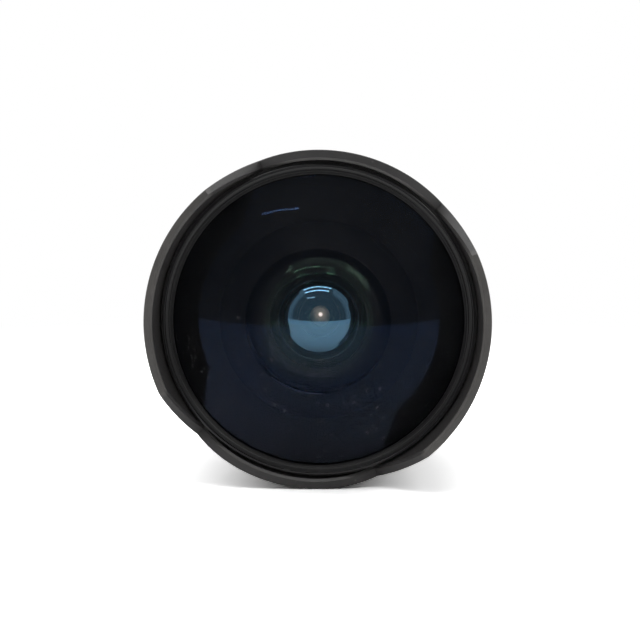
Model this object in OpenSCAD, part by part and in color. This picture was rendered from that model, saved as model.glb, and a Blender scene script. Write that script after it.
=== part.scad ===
// Fisheye lens with a built-in petal hood, manual focus and a six-blade iris.
// Built in the lens frame: x right and y up as seen from the front, z forward
// of the mount flange. Every sub-part is then turned so that the optical axis
// lies along Y, the front faces -Y and the origin is the centre of the flange.

/* [Front glass] */
// Diameter of the front element
front_lens_d = 65; // [62:0.5:70]
// Radius of the front element's dome
dome_r = 60; // [50:1:90]
// Cylindrical edge of the front element
front_lens_edge = 4.9; // [4.6:0.1:8]
// Radius of the hollow behind the front element
bowl_r = 24.2; // [22.5:0.1:27]
// Thickness of the front element at its centre
front_lens_t = 2.8; // [2.4:0.1:3.6]

/* [Hood] */
// Wall of the hood over the front barrel
hood_wall = 2.85; // [2.2:0.05:5]
// Wall of the hood at the petal tips
hood_rim_wall = 1.77; // [1:0.01:2.2]
// Width of the black groove between the hood and the front barrel
hood_groove = 0.5; // [0.3:0.05:0.8]
// Height of the petal tips above the edge of the glass
petal_rise = 10.1; // [6:0.1:16]
// Depth of the four notches below the edge of the glass
notch_drop = 1.6; // [0.5:0.1:3]
// Height of the middle of the short sides above the edge of the glass
side_rise = 1.8; // [0.5:0.1:5]
// Half angle of a petal tip
petal_half = 37; // [25:1:45]
// Half angle from the petal axis to a notch
notch_half = 56.5; // [50:0.5:70]
// Roll of the petal axis from horizontal
petal_roll = -13; // [-45:1:45]
// Rounding of the hood's rear edge
hood_chamfer = 0.8; // [0.2:0.1:2]

/* [Mount] */
// Diameter of the mount flange
flange_d = 64.6; // [64:0.1:66]
// Thickness of the mount flange
flange_t = 2.2; // [1.8:0.1:3]
// Outer diameter of the bayonet spigot
spigot_d = 50.6; // [48:0.1:51.4]
// Length of the bayonet spigot behind the flange
spigot_len = 5.5; // [4.5:0.1:6.5]
// Wall of the bayonet spigot
spigot_wall = 2.1; // [1.5:0.1:3]
// Reach of a bayonet lug beyond the spigot
lug_reach = 1.6; // [1:0.1:1.8]
// Thickness of a bayonet lug
lug_t = 1.5; // [1:0.1:2]
// Arc of a bayonet lug
lug_arc = 52; // [30:1:70]
// Radius of the circle of mount screws
mount_screw_circle = 30; // [29.6:0.1:30.4]
// Diameter of a mount screw's shank
mount_screw_d = 1.7; // [1.4:0.1:2]
// Diameter of a mount screw's head
mount_screw_head_d = 3; // [2.6:0.1:3.4]

/* [Barrel] */
// Outer diameter of the main barrel
core_d = 59; // [57:0.5:60]
// Wall of the main barrel
core_wall = 2; // [1.6:0.1:3]
// Diameter of the rear barrel
rear_barrel_d = 65.6; // [65:0.1:68]
// Length of the rear barrel that shows
rear_barrel_len = 6.6; // [6:0.1:9]
// Thickness of the web that the mount screws enter
rear_web_t = 2.8; // [2.4:0.1:4]
// Wall of the neck under the aperture ring
neck_wall = 1.87; // [1.7:0.01:2.5]
// Length of the fixed scale ring
scale_len = 4.8; // [4:0.1:8]
// Wall of the front barrel
front_wall = 2.02; // [1.9:0.01:3]
// Length from the front barrel's foot to the rear of the front element
front_len = 15; // [14.4:0.1:20]
// Depth of hood behind the front barrel's foot
hood_skirt = 2.8; // [1:0.1:5]
// Thickness of the inner shoulders and flanges
shoulder_t = 2; // [1.6:0.1:2.2]
// Reach of the inner shoulders into the barrel
shoulder_reach = 3.5; // [3:0.1:5]

/* [Focus] */
// Length of the focus ring
focus_len = 21.3; // [19:0.1:30]
// Wall of the focus ring
focus_wall = 4.25; // [3:0.05:5]
// Thickness of the rubber grip
grip_t = 0.9; // [0.6:0.1:1]
// Length of the rubber grip
grip_len = 12.4; // [8:0.1:14]
// Number of ribs on the grip
grip_ribs = 54; // [24:1:72]
// Wall of the cam sleeve
cam_wall = 1.74; // [1.2:0.01:3]
// Turn of the focus ring from infinity to its nearest distance
focus_turn = 100; // [60:1:100]
// Forward travel of the focus cell over that turn
focus_travel = 2; // [1:0.1:2.2]
// Diameter of a cam follower
follower_d = 2.5; // [2:0.1:3]
// Length of the focus cell's guide
guide_len = 7.5; // [6.5:0.1:7.5]
// Wall of the focus cell
cell_wall = 1.7; // [1.2:0.1:2]

/* [Aperture] */
// Length of the aperture ring
aperture_len = 9; // [8:0.1:12]
// Wall of the aperture ring
aperture_wall = 3.14; // [2.5:0.01:4]
// Turn of the aperture ring from its smallest to its largest stop
aperture_turn = 45; // [30:1:45]
// Number of click stops
clicks = 13; // [7:1:13]
// Number of finger flutes
flutes = 40; // [20:1:60]
// Diameter of the pin that drives the iris
drive_pin_d = 3; // [2:0.1:3.2]
// Width of the arm that drives the iris
arm_w = 4; // [3.6:0.1:5]
// Thickness of that arm
arm_t = 1.6; // [1.2:0.1:2]

/* [Iris] */
// Distance from the flange to the rear of the iris cam ring
iris_z = 32; // [31:0.1:33]
// Radius of the circle of blade pivots
pivot_r = 10.4; // [10:0.1:11]
// Radius of the fixed hole in front of the blades
open_r = 5.1; // [4:0.1:5.2]
// Radius of a blade's inner edge
blade_in = 5.3; // [5.2:0.05:5.6]
// Radius of a blade's outer edge
blade_out = 8.8; // [8.4:0.1:9]
// Radius of the smallest stop
stop_r = 0.85; // [0.5:0.05:1.5]
// Angle from a blade's pivot to its tip
blade_tip = 122; // [118:1:130]
// Diameter of a blade's pins
blade_pin_d = 0.8; // [0.6:0.05:0.9]
// Angle from a blade's pivot back to its drive pin, wide open
blade_drive = 24; // [20:1:26]
// Thickness of a blade
blade_t = 0.1; // [0.06:0.01:0.12]
// Distance from one blade to the next along the axis
blade_pitch = 0.18; // [0.16:0.01:0.2]
// Wall of the iris housing
iris_wall = 1.5; // [1.2:0.1:2]
// Thickness of the iris housing's plate
iris_plate_t = 1.4; // [1.2:0.1:1.6]

/* [Rear optics] */
// Diameter of the four rear elements
rear_lens_d = 18.4; // [16:0.1:20]
// Diameter of the doublet behind the iris
mid_lens_d = 13.6; // [13:0.1:15]
// Diameter of the doublet in front of the iris
fore_lens_d = 14; // [13:0.1:15]
// Diameter of the second element
second_lens_d = 25; // [24:0.1:26]
// Wall of the rear cell around the rear elements
rear_cell_wall = 2.2; // [1.6:0.1:3]
// Width of the lips and rings that hold an element
lip = 1.2; // [0.8:0.1:1.4]

/* [Clearances] */
// Running clearance of turning and sliding fits, on the radius
run = 0.06; // [0.03:0.01:0.09]
// Clearance of fixed fits, on the radius
fit = 0.03; // [0.02:0.01:0.05]
// Gap between rings that turn past each other
ring_gap = 0.3; // [0.2:0.05:0.5]
// Cement between the elements of a doublet
cement = 0.02; // [0.01:0.01:0.04]

/* [Hidden] */
$fn = 96;
glass_fn = 360;
eps = 0.5;

// Radii, from the axis outwards
core_r = core_d / 2;
bore_r = core_r - core_wall;
neck_r = core_r + fit + neck_wall;
aperture_bore = neck_r + run;
aperture_r = aperture_bore + aperture_wall;
cam_in = core_r + run;
cam_r = cam_in + cam_wall;
focus_bore = cam_r + fit;
focus_r = focus_bore + focus_wall;
grip_r = focus_r + grip_t;
front_lens_r = front_lens_d / 2;
front_bore = front_lens_r + fit;
front_r = front_bore + front_wall;
hood_in = front_r + fit;
hood_r = hood_in + hood_wall;
flange_r = flange_d / 2;
spigot_r = spigot_d / 2;
spigot_in = spigot_r - spigot_wall;
rear_barrel_r = rear_barrel_d / 2;
shoulder_in = bore_r - shoulder_reach;

// Stations along the axis, from the flange forwards
core_z = flange_t + rear_web_t;
neck_z = flange_t + rear_barrel_len;
aperture_z = neck_z + ring_gap;
scale_z = aperture_z + aperture_len + ring_gap;
focus_z = scale_z + scale_len + ring_gap;
hood_z = focus_z + focus_len + ring_gap;
core_end = hood_z + hood_skirt;
front_lens_z = core_end + front_len;
edge_z = front_lens_z + front_lens_edge;
dome_centre = edge_z - sqrt(dome_r * dome_r - front_lens_r * front_lens_r);
tip_z = edge_z + petal_rise;

// Front end: baffle, seal and retaining ring
bowl_centre = dome_centre + dome_r - front_lens_t - bowl_r;
bowl_rim = sqrt(bowl_r * bowl_r - pow(front_lens_z - bowl_centre, 2));
baffle_t = 2;
baffle_hole = bowl_rim + 0.8;
seat_z = front_lens_z - baffle_t;
seat_in = front_lens_r - 3;
seal_d = 1;
seal_z = front_lens_z + 1.2;
thread_depth = 2.4;
thread_wall = 1.3;
thread_r = front_bore + thread_wall;
barrel_top = edge_z - 0.35;
ring_lip = 0.35;
ring_rise = 1;
ring_step = 0.55;
ring_margin = 0.2;
spanner_w = 1.4;
spanner_angles = [78, 258];
groove_depth = 0.4;
groove_z = min(barrel_top, edge_z - notch_drop) - groove_depth;

// Screws
screw_d = 1.4;
screw_head_d = 2.4;
screw_head_h = 1.1;
grub_d = 1.6;
barrel_screw_d = 1.1;
barrel_screw_head_d = 1.8;
hood_screw_d = 1.8;
hood_screw_head_d = 3.4;
screw_angles = [90, 210, 330];
rear_screw_angles = [30, 150, 270];
front_web_t = 2.5;
barrel_screw_len = 6.1;
barrel_screw_head_h = 0.9;
lug_angles = [20, 140, 260];
mount_screw_angles = [45, 135, 225, 315];

// Focus cell and its cam
follow_angles = [30, 150, 270];
cell_z = core_end - guide_len - eps;
follow_z = cell_z + 3;
guide_r = bore_r - run;
guide_in = guide_r - cell_wall;
slot_half = follower_d / 2 + run;
slot_end = asin((slot_half + run) / cam_in);
cam_end = core_end - ring_gap;
cam_steps = 20;

// Aperture drive
arm_angle = 300;
arm_room = 1.7;
arm_r = bore_r - arm_room;
arm_in = arm_r - arm_t;
drive_z = aperture_z + aperture_len / 2 - 0.5;
drive_slot_half = drive_pin_d / 2 + 0.2;
drive_slot_reach = asin((drive_pin_d / 2 + 0.4) / bore_r);
click_angle = 60;
click_z = aperture_z + aperture_len - 1.7;
click_ball_d = 1.5;
click_arc = 15;
click_leaf_t = 0.24;
click_leaf_w = 1.6;
click_step = aperture_turn / (clicks - 1);

// Iris
blade_count = 6;
swing = 2 * asin((blade_in - stop_r) / (2 * pivot_r));
drive_ratio = swing / aperture_turn;
pin_r = blade_pin_d / 2;
pin_room = 0.1;
tail_rim = 0.9;
tail_r = pivot_r + tail_rim;
tail_back = blade_drive + 5;
tail_front = 7;
cam_ring_t = 1.1;
layer_gap = 0.15;
blade_z = iris_z + cam_ring_t + layer_gap;
plate_z = blade_z + blade_count * blade_pitch + layer_gap;
plate_end = plate_z + iris_plate_t;
pivot_depth = iris_plate_t * 0.8;
drive_open = [pivot_r * cos(blade_drive), -pivot_r * sin(blade_drive)];
pivot = [pivot_r, 0];
drive_shut = pivot + turn(swing, drive_open - pivot);
cam_rim = 1;
cam_ring_r = norm(drive_shut) + pin_r + pin_room + cam_rim;
cam_ring_in = open_r + cam_rim;
iris_in = cam_ring_r + run;
iris_r = iris_in + iris_wall;
snap_t = 0.8;
snap_depth = 0.5;
snap_reach = 1.4;
snap_gap = 4;
snap_z = iris_z - layer_gap - snap_t;
iris_back = snap_z - layer_gap;
prong = 1;
tab_w = arm_w + 2 * prong;
window_reach = asin((tab_w / 2 + eps) / iris_in);
cam_slot_steps = 10;
cap_steps = 6;

// Rear cell, from the iris backwards
rear_lens_r = rear_lens_d / 2;
rear_bore = rear_lens_r + fit;
rear_cell_r = rear_bore + rear_cell_wall;
rear_hold = rear_lens_r - lip;
mid_lens_r = mid_lens_d / 2;
mid_bore = mid_lens_r + fit;
mid_hold = mid_lens_r - lip + 0.3;
mid_lip = mid_lens_r - lip + 0.5;
rear_cell_end = iris_back - ring_gap;
r5 = 20;
r56 = 11;
t5 = 4.2;
t6 = 1.2;
r7 = [35, 22];
t7 = 4.2;
air78 = 2.7;
r8 = -25;
t8 = 1.2;
r89 = 14;
t9 = 5.8;
r9 = 24;
air910 = 1.6;
r10 = [30, 60];
t10 = 3.8;
z5 = rear_cell_end - 0.8;
z56 = z5 - t5;
z6 = z56 - cement - t6;
mid_lip_t = 2.4;
rear_lip_z = z6 - mid_lip_t;
z7 = rear_lip_z + sag(r7[0], mid_lip);
z7r = z7 - t7;
z8 = z7r - air78;
z8r = z8 - t8;
z9 = z8r - cement;
z9r = z9 - t9;
z10 = z9r - air910;
z10r = z10 - t10;
rear_ring_len = 2.2;
rear_ring_z = z10r + sag(r10[1], rear_hold) - rear_ring_len;
rear_cell_back = rear_ring_z - 0.4;
cell_flange_z = core_z + 2;

// Focus cell's elements, from the front backwards
second_r = second_lens_d / 2;
second_bore = second_r + fit;
second_hold = second_r - lip;
fore_r = fore_lens_d / 2;
fore_bore = fore_r + fit;
fore_lip = fore_r - lip + 0.6;
fore_hold = fore_r - lip - 0.2;
r2 = 28;
r2r = 18.3;
bowl2_r = 9.2;
t2 = 1.8;
r3 = 40;
r34 = 16;
t3 = 4;
r4 = 17;
t4 = 1.3;
nose_r = second_bore + cell_wall;
nose_gap = 0.8;
nose_z = bowl_centre + sqrt(bowl_r * bowl_r - nose_r * nose_r) - focus_travel - nose_gap;
second_depth = 2.7;
second_seat = nose_z - second_depth;
z2 = second_seat + sag(r2r, bowl2_r) + t2;
fore_lip_t = 1.8;
fore_rise = 2.8;
fore_seat = core_end + fore_rise;
z3 = fore_seat + sag(r3, fore_lip);
z34 = z3 - t3;
z4 = z34 - cement;
z4r = z4 - t4;
second_ring_z = z2 - sag(r2, second_hold);
fore_ring_z = z4r - sag(r4, fore_r);
fore_ring_len = 2;
cell_back = fore_ring_z - fore_ring_len - 0.6;
fore_wall_r = fore_bore + cell_wall;
web_t = 2.2;

// Depth of a spherical cap of radius r at distance a from its axis
function sag(r, a) = r - sqrt(r * r - a * a);

// A plane point turned about the origin
function turn(a, p) = [cos(a) * p[0] - sin(a) * p[1], sin(a) * p[0] + cos(a) * p[1]];

// Height of the dome at distance a from the axis
function dome_z(a) = dome_centre + sqrt(dome_r * dome_r - a * a);

// Height of the hood's rim at an angle from the petal axis, notch to notch
function rim_z(a) =
    a < notch_half ? tip_z - (tip_z - edge_z + notch_drop) * (a - petal_half) / (notch_half - petal_half)
    : a > 180 - notch_half ? rim_z(180 - a)
    : edge_z - notch_drop + (side_rise + notch_drop) * sin(90 * (1 - pow((a - 90) / (90 - notch_half), 2)));

// Place of a blade's drive pin in the cam ring, at a turn of the aperture ring
function cam_point(a) = turn(a, pivot + turn(-drive_ratio * a, drive_shut - pivot));

// Point beside that track, half the slot's width away, at an angle from the way the pin goes
function cam_side(a, way) =
    let (step = cam_point(a + 0.1) - cam_point(a - 0.1))
    cam_point(a) + (pin_r + pin_room) * turn(way, step / norm(step));

// Turns the lens frame into the part's frame
module lens_frame() {
    rotate([90, 0, 0])
        children();
}

// Ring of rectangular section
module ring(r_in, r_out, z0, z1) {
    rotate_extrude()
        translate([r_in, z0])
            square([r_out - r_in, z1 - z0]);
}

// Part of such a ring, from angle a0 to angle a1
module arc(r_in, r_out, z0, z1, a0, a1) {
    rotate(a0)
        rotate_extrude(angle = a1 - a0)
            translate([r_in, z0])
                square([r_out - r_in, z1 - z0]);
}

// Puts its child on a radius, with the child's z pointing outwards
module radial(angle, z) {
    rotate(angle)
        translate([0, 0, z])
            rotate([0, 90, 0])
                children();
}

// Cylinder along z between two stations
module rod(r, z0, z1) {
    translate([0, 0, z0])
        cylinder(r = r, h = z1 - z0);
}

// Same child at several angles
module around(angles, r = 0) {
    for (a = angles)
        rotate(a)
            translate([r, 0, 0])
                children();
}

// Screw along z with its head's seat at z = 0 and its shank forwards
module screw(d, head_d, head_h, length, room = 0) {
    rod(d / 2 + room, 0, length);
    rod(head_d / 2 + room, -head_h, room);
}

// Element between two vertices. A positive radius bulges, a negative one is hollow and 0 is flat.
module element(r, front, front_r, rear, rear_r) {
    top = front_r < 0 ? front + sag(-front_r, r) : front;
    bottom = rear_r < 0 ? rear - sag(-rear_r, r) : rear;
    difference() {
        intersection() {
            rod(r, bottom, top);
            if (front_r > 0)
                translate([0, 0, front - front_r])
                    sphere(front_r, $fn = glass_fn);
            if (rear_r > 0)
                translate([0, 0, rear + rear_r])
                    sphere(rear_r, $fn = glass_fn);
        }
        if (front_r < 0)
            translate([0, 0, front - front_r])
                sphere(-front_r, $fn = glass_fn);
        if (rear_r < 0)
            translate([0, 0, rear + rear_r])
                sphere(-rear_r, $fn = glass_fn);
    }
}

// Flat wedge from the axis, for cutting sectors
module wedge(a0, a1, r) {
    polygon(concat([[0, 0]], [for (i = [0 : 6]) r * [cos(a0 + (a1 - a0) * i / 6), sin(a0 + (a1 - a0) * i / 6)]]));
}

// Everything above the rim between two petals, as one ring sector
module rim_cutter() {
    slope_steps = 5;
    side_steps = 18;
    lead = 1;
    start = petal_half - lead;
    slope = notch_half - start;
    angles = concat(
        [for (i = [0 : slope_steps - 1]) start + slope * i / slope_steps],
        [for (i = [0 : side_steps]) notch_half + (180 - 2 * notch_half) * i / side_steps],
        [for (i = [1 : slope_steps]) 180 - notch_half + slope * i / slope_steps]
    );
    inner = front_r - 1;
    outer = hood_r + 1;
    top = rim_z(start) + 1;
    points = [for (a = angles) each [
        [inner * cos(a), inner * sin(a), rim_z(a)],
        [outer * cos(a), outer * sin(a), rim_z(a)],
        [outer * cos(a), outer * sin(a), top],
        [inner * cos(a), inner * sin(a), top]
    ]];
    sweep_solid(points, len(angles));
}

// Solid through a row of four-cornered sections
module sweep_solid(points, count) {
    last = 4 * (count - 1);
    sides = [for (i = [0 : count - 2], j = [0 : 3])
        let (a = 4 * i + j, b = 4 * i + (j + 1) % 4)
        each [[a, b, b + 4], [a, b + 4, a + 4]]];
    polyhedron(points, concat(sides, [[3, 2, 1], [3, 1, 0], [last, last + 1, last + 2], [last, last + 2, last + 3]]));
}

// Helical slot of the cam sleeve for one follower
module cam_slot() {
    inner = cam_in - eps;
    outer = cam_r + eps;
    points = [for (i = [0 : cam_steps])
        let (
            a = (focus_turn + 2 * slot_end) * i / cam_steps - slot_end,
            z = follow_z + focus_travel * a / focus_turn
        )
        each [
            [inner * cos(a), inner * sin(a), z - slot_half],
            [outer * cos(a), outer * sin(a), z - slot_half],
            [outer * cos(a), outer * sin(a), z + slot_half],
            [inner * cos(a), inner * sin(a), z + slot_half]
        ]];
    sweep_solid(points, cam_steps + 1);
}

// Flat outline of one iris blade, wide open, with its pivot on the x axis
module blade_outline() {
    reach = 2 * tail_r;
    difference() {
        union() {
            intersection() {
                circle(blade_out);
                wedge(0, blade_tip, reach);
            }
            intersection() {
                circle(tail_r);
                wedge(-tail_back, tail_front, reach);
            }
        }
        circle(blade_in);
    }
}

// One iris blade with its two pins, stopped down
module blade(index) {
    z = blade_z + index * blade_pitch;
    lens_frame()
        rotate(360 / blade_count * index)
            translate(pivot)
                rotate(swing)
                    translate(-pivot) {
                        translate([0, 0, z])
                            linear_extrude(blade_t)
                                blade_outline();
                        translate(pivot)
                            rod(pin_r, z, plate_z + pivot_depth - layer_gap);
                        translate(drive_open)
                            rod(pin_r, iris_z + layer_gap, z + blade_t / 2);
                    }
}

// Mount end

module bayonet_mount() {
    undercut = 0.4;
    notch_w = 2.4;
    notch_depth = 1.6;
    color("silver")
        lens_frame()
            difference() {
                union() {
                    ring(spigot_r + lug_reach + undercut, flange_r, 0, flange_t);
                    ring(spigot_in, flange_r - 1, undercut, flange_t);
                    ring(spigot_in, spigot_r, -spigot_len, flange_t);
                    for (a = lug_angles)
                        arc(spigot_r - 1, spigot_r + lug_reach, -spigot_len, lug_t - spigot_len, a, a + lug_arc);
                }
                around(mount_screw_angles, mount_screw_circle)
                    mount_screw(fit);
                rotate(180)
                    translate([flange_r - 2, -notch_w / 2, -1])
                        cube([3, notch_w, notch_depth + 1]);
            }
}

// Countersunk screw, with its head just under the flange face
module mount_screw(room = 0) {
    head_r = mount_screw_head_d / 2 + room;
    shank_r = mount_screw_d / 2 + room;
    sink = 0.15;
    head_h = (mount_screw_head_d - mount_screw_d) / 2;
    rod(shank_r, sink, core_z - 0.3 + room);
    translate([0, 0, sink])
        cylinder(r1 = head_r, r2 = shank_r, h = head_h);
    if (room > 0)
        rod(head_r, -1, sink);
}

module mount_screws() {
    color("dimgray")
        lens_frame()
            around(mount_screw_angles, mount_screw_circle)
                mount_screw();
}

module mount_index_bead() {
    color("white")
        lens_frame()
            radial(90, flange_t + rear_barrel_len / 2)
                index_bead();
}

// Round bead set into the rear barrel
module index_bead(room = 0) {
    rod(1.1 + room, rear_barrel_r - 0.9 - room, rear_barrel_r + 0.25);
}

module rear_baffle() {
    baffle_in = rear_cell_r + ring_gap;
    z0 = -0.8;
    t = 1.2;
    ridge = 1;
    color("black")
        lens_frame() {
            ring(baffle_in, spigot_in - fit, z0, z0 + t);
            ring(baffle_in, baffle_in + ridge, z0 + t, z0 + t + ridge);
            ring(spigot_in - fit - ridge, spigot_in - fit, z0 + t, flange_t);
        }
}

module rear_barrel() {
    color("black")
        lens_frame()
            difference() {
                union() {
                    ring(bore_r - 0.5, rear_barrel_r, flange_t, core_z);
                    ring(core_r + fit, rear_barrel_r, core_z, neck_z);
                    ring(core_r + fit, neck_r, neck_z, scale_z);
                }
                around(mount_screw_angles, mount_screw_circle)
                    mount_screw(fit);
                radial(90, flange_t + rear_barrel_len / 2)
                    index_bead(fit);
                rear_barrel_holes();
                drive_slot();
                radial(click_angle, click_z)
                    rod(click_ball_d / 2 + run, core_r - 1, neck_r + 1);
                arc(core_r, core_r + fit + click_leaf_t + run, click_z - click_leaf_w / 2 - run,
                    click_z + click_leaf_w / 2 + run, click_angle - click_arc - 1, click_angle + click_arc + 1);
            }
}

// Arc slot that lets the drive pin swing with the aperture ring
module drive_slot() {
    arc(bore_r - 1, neck_r + 1, drive_z - drive_slot_half, drive_z + drive_slot_half,
        arm_angle - aperture_turn - drive_slot_reach, arm_angle + drive_slot_reach);
}

// Radial grub screws from a ring's outside into the main barrel's wall
module grub_screws(angles, z, r_out, room = 0) {
    for (a = angles)
        radial(a, z)
            rod(grub_d / 2 + room, core_r - core_wall * 0.6 - room, r_out);
}

module rear_barrel_holes() {
    grub_screws(rear_screw_angles, (core_z + neck_z) / 2, rear_barrel_r + 1, fit);
}

module rear_barrel_screws() {
    color("dimgray")
        lens_frame()
            grub_screws(rear_screw_angles, (core_z + neck_z) / 2, rear_barrel_r - 0.2);
}

module click_spring() {
    color("gold")
        lens_frame()
            arc(core_r + fit, core_r + fit + click_leaf_t, click_z - click_leaf_w / 2,
                click_z + click_leaf_w / 2, click_angle - click_arc, click_angle + click_arc);
}

module click_ball() {
    color("silver")
        lens_frame()
            radial(click_angle, click_z)
                translate([0, 0, neck_r - click_ball_d / 2 - fit])
                    sphere(click_ball_d / 2);
}

// Barrels and rings

module main_barrel() {
    front_screw_z = core_end + front_web_t - barrel_screw_len - eps;
    color("darkgray")
        lens_frame()
            difference() {
                union() {
                    ring(bore_r, core_r, core_z, core_end);
                    ring(shoulder_in, core_r - 1, cell_flange_z + shoulder_t, cell_flange_z + 1.7 * shoulder_t);
                    ring(shoulder_in, core_r - 1, plate_end, plate_end + shoulder_t);
                }
                drive_slot();
                for (a = follow_angles)
                    guide_slot(a);
                rear_barrel_holes();
                scale_ring_holes();
                cell_flange_screws(fit);
                iris_plate_screws(fit);
                around(screw_angles, (bore_r + core_r) / 2)
                    rod(barrel_screw_d / 2 + fit, front_screw_z, core_end + eps);
            }
}

// Straight slot along the axis that keeps one follower from turning
module guide_slot(angle) {
    for (z = [follow_z, follow_z + focus_travel])
        radial(angle, z)
            rod(slot_half, bore_r - 1, core_r + 1);
    rotate(angle)
        translate([bore_r - 1, -slot_half, follow_z])
            cube([core_wall + 2, 2 * slot_half, focus_travel]);
}

module scale_ring() {
    chamfer = 0.4;
    color("black")
        lens_frame()
            difference() {
                rotate_extrude()
                    polygon([
                        [core_r + fit, scale_z], [aperture_r - chamfer, scale_z], [aperture_r, scale_z + chamfer],
                        [aperture_r, scale_z + scale_len - chamfer], [aperture_r - chamfer, scale_z + scale_len],
                        [core_r + fit, scale_z + scale_len]
                    ]);
                scale_ring_holes();
            }
}

module scale_ring_holes() {
    grub_screws(rear_screw_angles, scale_z + scale_len / 2, aperture_r + 1, fit);
}

module scale_ring_screws() {
    color("dimgray")
        lens_frame()
            grub_screws(rear_screw_angles, scale_z + scale_len / 2, aperture_r - 0.2);
}

module front_barrel() {
    color("black")
        lens_frame()
            difference() {
                rotate_extrude()
                    polygon([
                        [bore_r, core_end], [front_r, core_end], [front_r, barrel_top], [thread_r, barrel_top],
                        [thread_r, barrel_top - thread_depth], [front_bore, barrel_top - thread_depth],
                        [front_bore, seat_z], [seat_in, seat_z], [seat_in, seat_z - shoulder_t],
                        [front_bore, seat_z - 1.5 * shoulder_t], [front_bore, core_end + front_web_t],
                        [bore_r, core_end + front_web_t]
                    ]);
                ring(front_bore - 1, front_bore + seal_d, seal_z - seal_d * 0.55, seal_z + seal_d * 0.55);
                around(screw_angles, (bore_r + core_r) / 2)
                    rod(barrel_screw_d / 2 + fit, core_end - eps, core_end + front_web_t + eps);
                hood_fasteners(fit);
            }
}

module front_barrel_screws() {
    color("dimgray")
        lens_frame()
            around(screw_angles, (bore_r + core_r) / 2)
                translate([0, 0, core_end + front_web_t])
                    rotate([180, 0, 0])
                        screw(barrel_screw_d, barrel_screw_head_d, barrel_screw_head_h, barrel_screw_len);
}

module front_baffle() {
    recess = 0.4;
    rim = 3;
    color("black")
        lens_frame() {
            ring(baffle_hole, front_lens_r - rim + 0.5, seat_z + recess, front_lens_z - recess);
            ring(front_lens_r - rim, front_lens_r, seat_z, front_lens_z);
        }
}

module front_lens() {
    color("midnightblue")
        lens_frame()
            difference() {
                intersection() {
                    rod(front_lens_r, front_lens_z, tip_z + petal_rise);
                    translate([0, 0, dome_centre])
                        sphere(dome_r, $fn = glass_fn);
                }
                translate([0, 0, bowl_centre])
                    sphere(bowl_r, $fn = glass_fn);
            }
}

module front_seal() {
    color("black")
        lens_frame()
            rotate_extrude()
                translate([front_lens_r + seal_d / 2 + fit, seal_z])
                    circle(seal_d / 2);
}

module front_retaining_ring() {
    lip_r = front_lens_r - ring_lip;
    skirt_in = front_bore + fit;
    skirt_out = thread_r - fit;
    out = front_r - ring_margin;
    top = edge_z + ring_rise;
    low = edge_z + ring_step;
    color("black")
        lens_frame()
            difference() {
                rotate_extrude()
                    polygon([
                        [skirt_in, barrel_top - thread_depth], [skirt_out, barrel_top - thread_depth],
                        [skirt_out, barrel_top], [out, barrel_top], [out, top - 0.15], [out - 0.15, top],
                        [out - 0.4, top], [out - 0.9, low], [out - 1.3, low], [out - 1.35, low + 0.25],
                        [out - 1.8, low + 0.25], [lip_r, low], [lip_r, dome_z(lip_r) + fit],
                        [skirt_in, edge_z + fit]
                    ]);
                around(spanner_angles, out - 0.55)
                    translate([0, -spanner_w / 2, low])
                        cube([1, spanner_w, ring_rise]);
            }
}

module hood() {
    root_r = front_r + hood_groove;
    color([0.13, 0.13, 0.14])
        lens_frame()
            difference() {
                rotate_extrude()
                    polygon([
                        [hood_in, hood_z], [hood_r - hood_chamfer, hood_z], [hood_r, hood_z + hood_chamfer],
                        [hood_r, tip_z], [hood_r - hood_rim_wall, tip_z], [root_r, groove_z], [hood_in, groove_z]
                    ]);
                around([petal_roll, petal_roll + 180])
                    rim_cutter();
                hood_fasteners(fit);
            }
}

// Three screws through the hood into the front barrel's wall
module hood_fasteners(room = 0) {
    sink = 0.2;
    head_h = 1.2;
    head_z = hood_r - sink - head_h;
    for (a = screw_angles)
        radial(a, core_end + 4)
            translate([0, 0, head_z])
                rotate([180, 0, 0])
                    screw(hood_screw_d, hood_screw_head_d, room > 0 ? head_h + 1 : head_h,
                        head_z - front_bore - front_wall / 3 + room, room);
}

module hood_screws() {
    color("dimgray")
        lens_frame()
            hood_fasteners();
}

// Focus

module focus_ring() {
    chamfer = 0.5;
    color([0.15, 0.15, 0.16])
        lens_frame()
            difference() {
                rotate_extrude()
                    polygon([
                        [focus_bore, focus_z], [focus_r - chamfer, focus_z], [focus_r, focus_z + chamfer],
                        [focus_r, focus_z + focus_len - chamfer], [focus_r - chamfer, focus_z + focus_len],
                        [focus_bore, focus_z + focus_len]
                    ]);
                focus_fasteners(fit);
            }
}

module focus_grip() {
    rib_w = PI * grip_r / grip_ribs;
    z0 = focus_z + focus_len - grip_len - 1.4;
    color([0.1, 0.1, 0.1])
        lens_frame()
            translate([0, 0, z0])
                linear_extrude(grip_len)
                    difference() {
                        circle(grip_r);
                        circle(focus_r + fit);
                        for (i = [0 : grip_ribs - 1])
                            rotate(360 / grip_ribs * i)
                                translate([grip_r - grip_t * 0.6, -rib_w / 2])
                                    square([grip_t, rib_w]);
                    }
}

module focus_cam() {
    color("darkgray")
        lens_frame()
            difference() {
                ring(cam_in, cam_r, focus_z, cam_end);
                for (a = follow_angles)
                    rotate(a)
                        cam_slot();
                focus_fasteners(fit);
            }
}

// Three screws under the grip that tie the focus ring to the cam sleeve
module focus_fasteners(room = 0) {
    for (a = screw_angles)
        radial(a, focus_z + focus_len / 2)
            rod(grub_d / 2 + room, cam_in + cam_wall / 3 - room, focus_r - 0.1 + room);
}

module focus_ring_screws() {
    color("dimgray")
        lens_frame()
            focus_fasteners();
}

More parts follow.
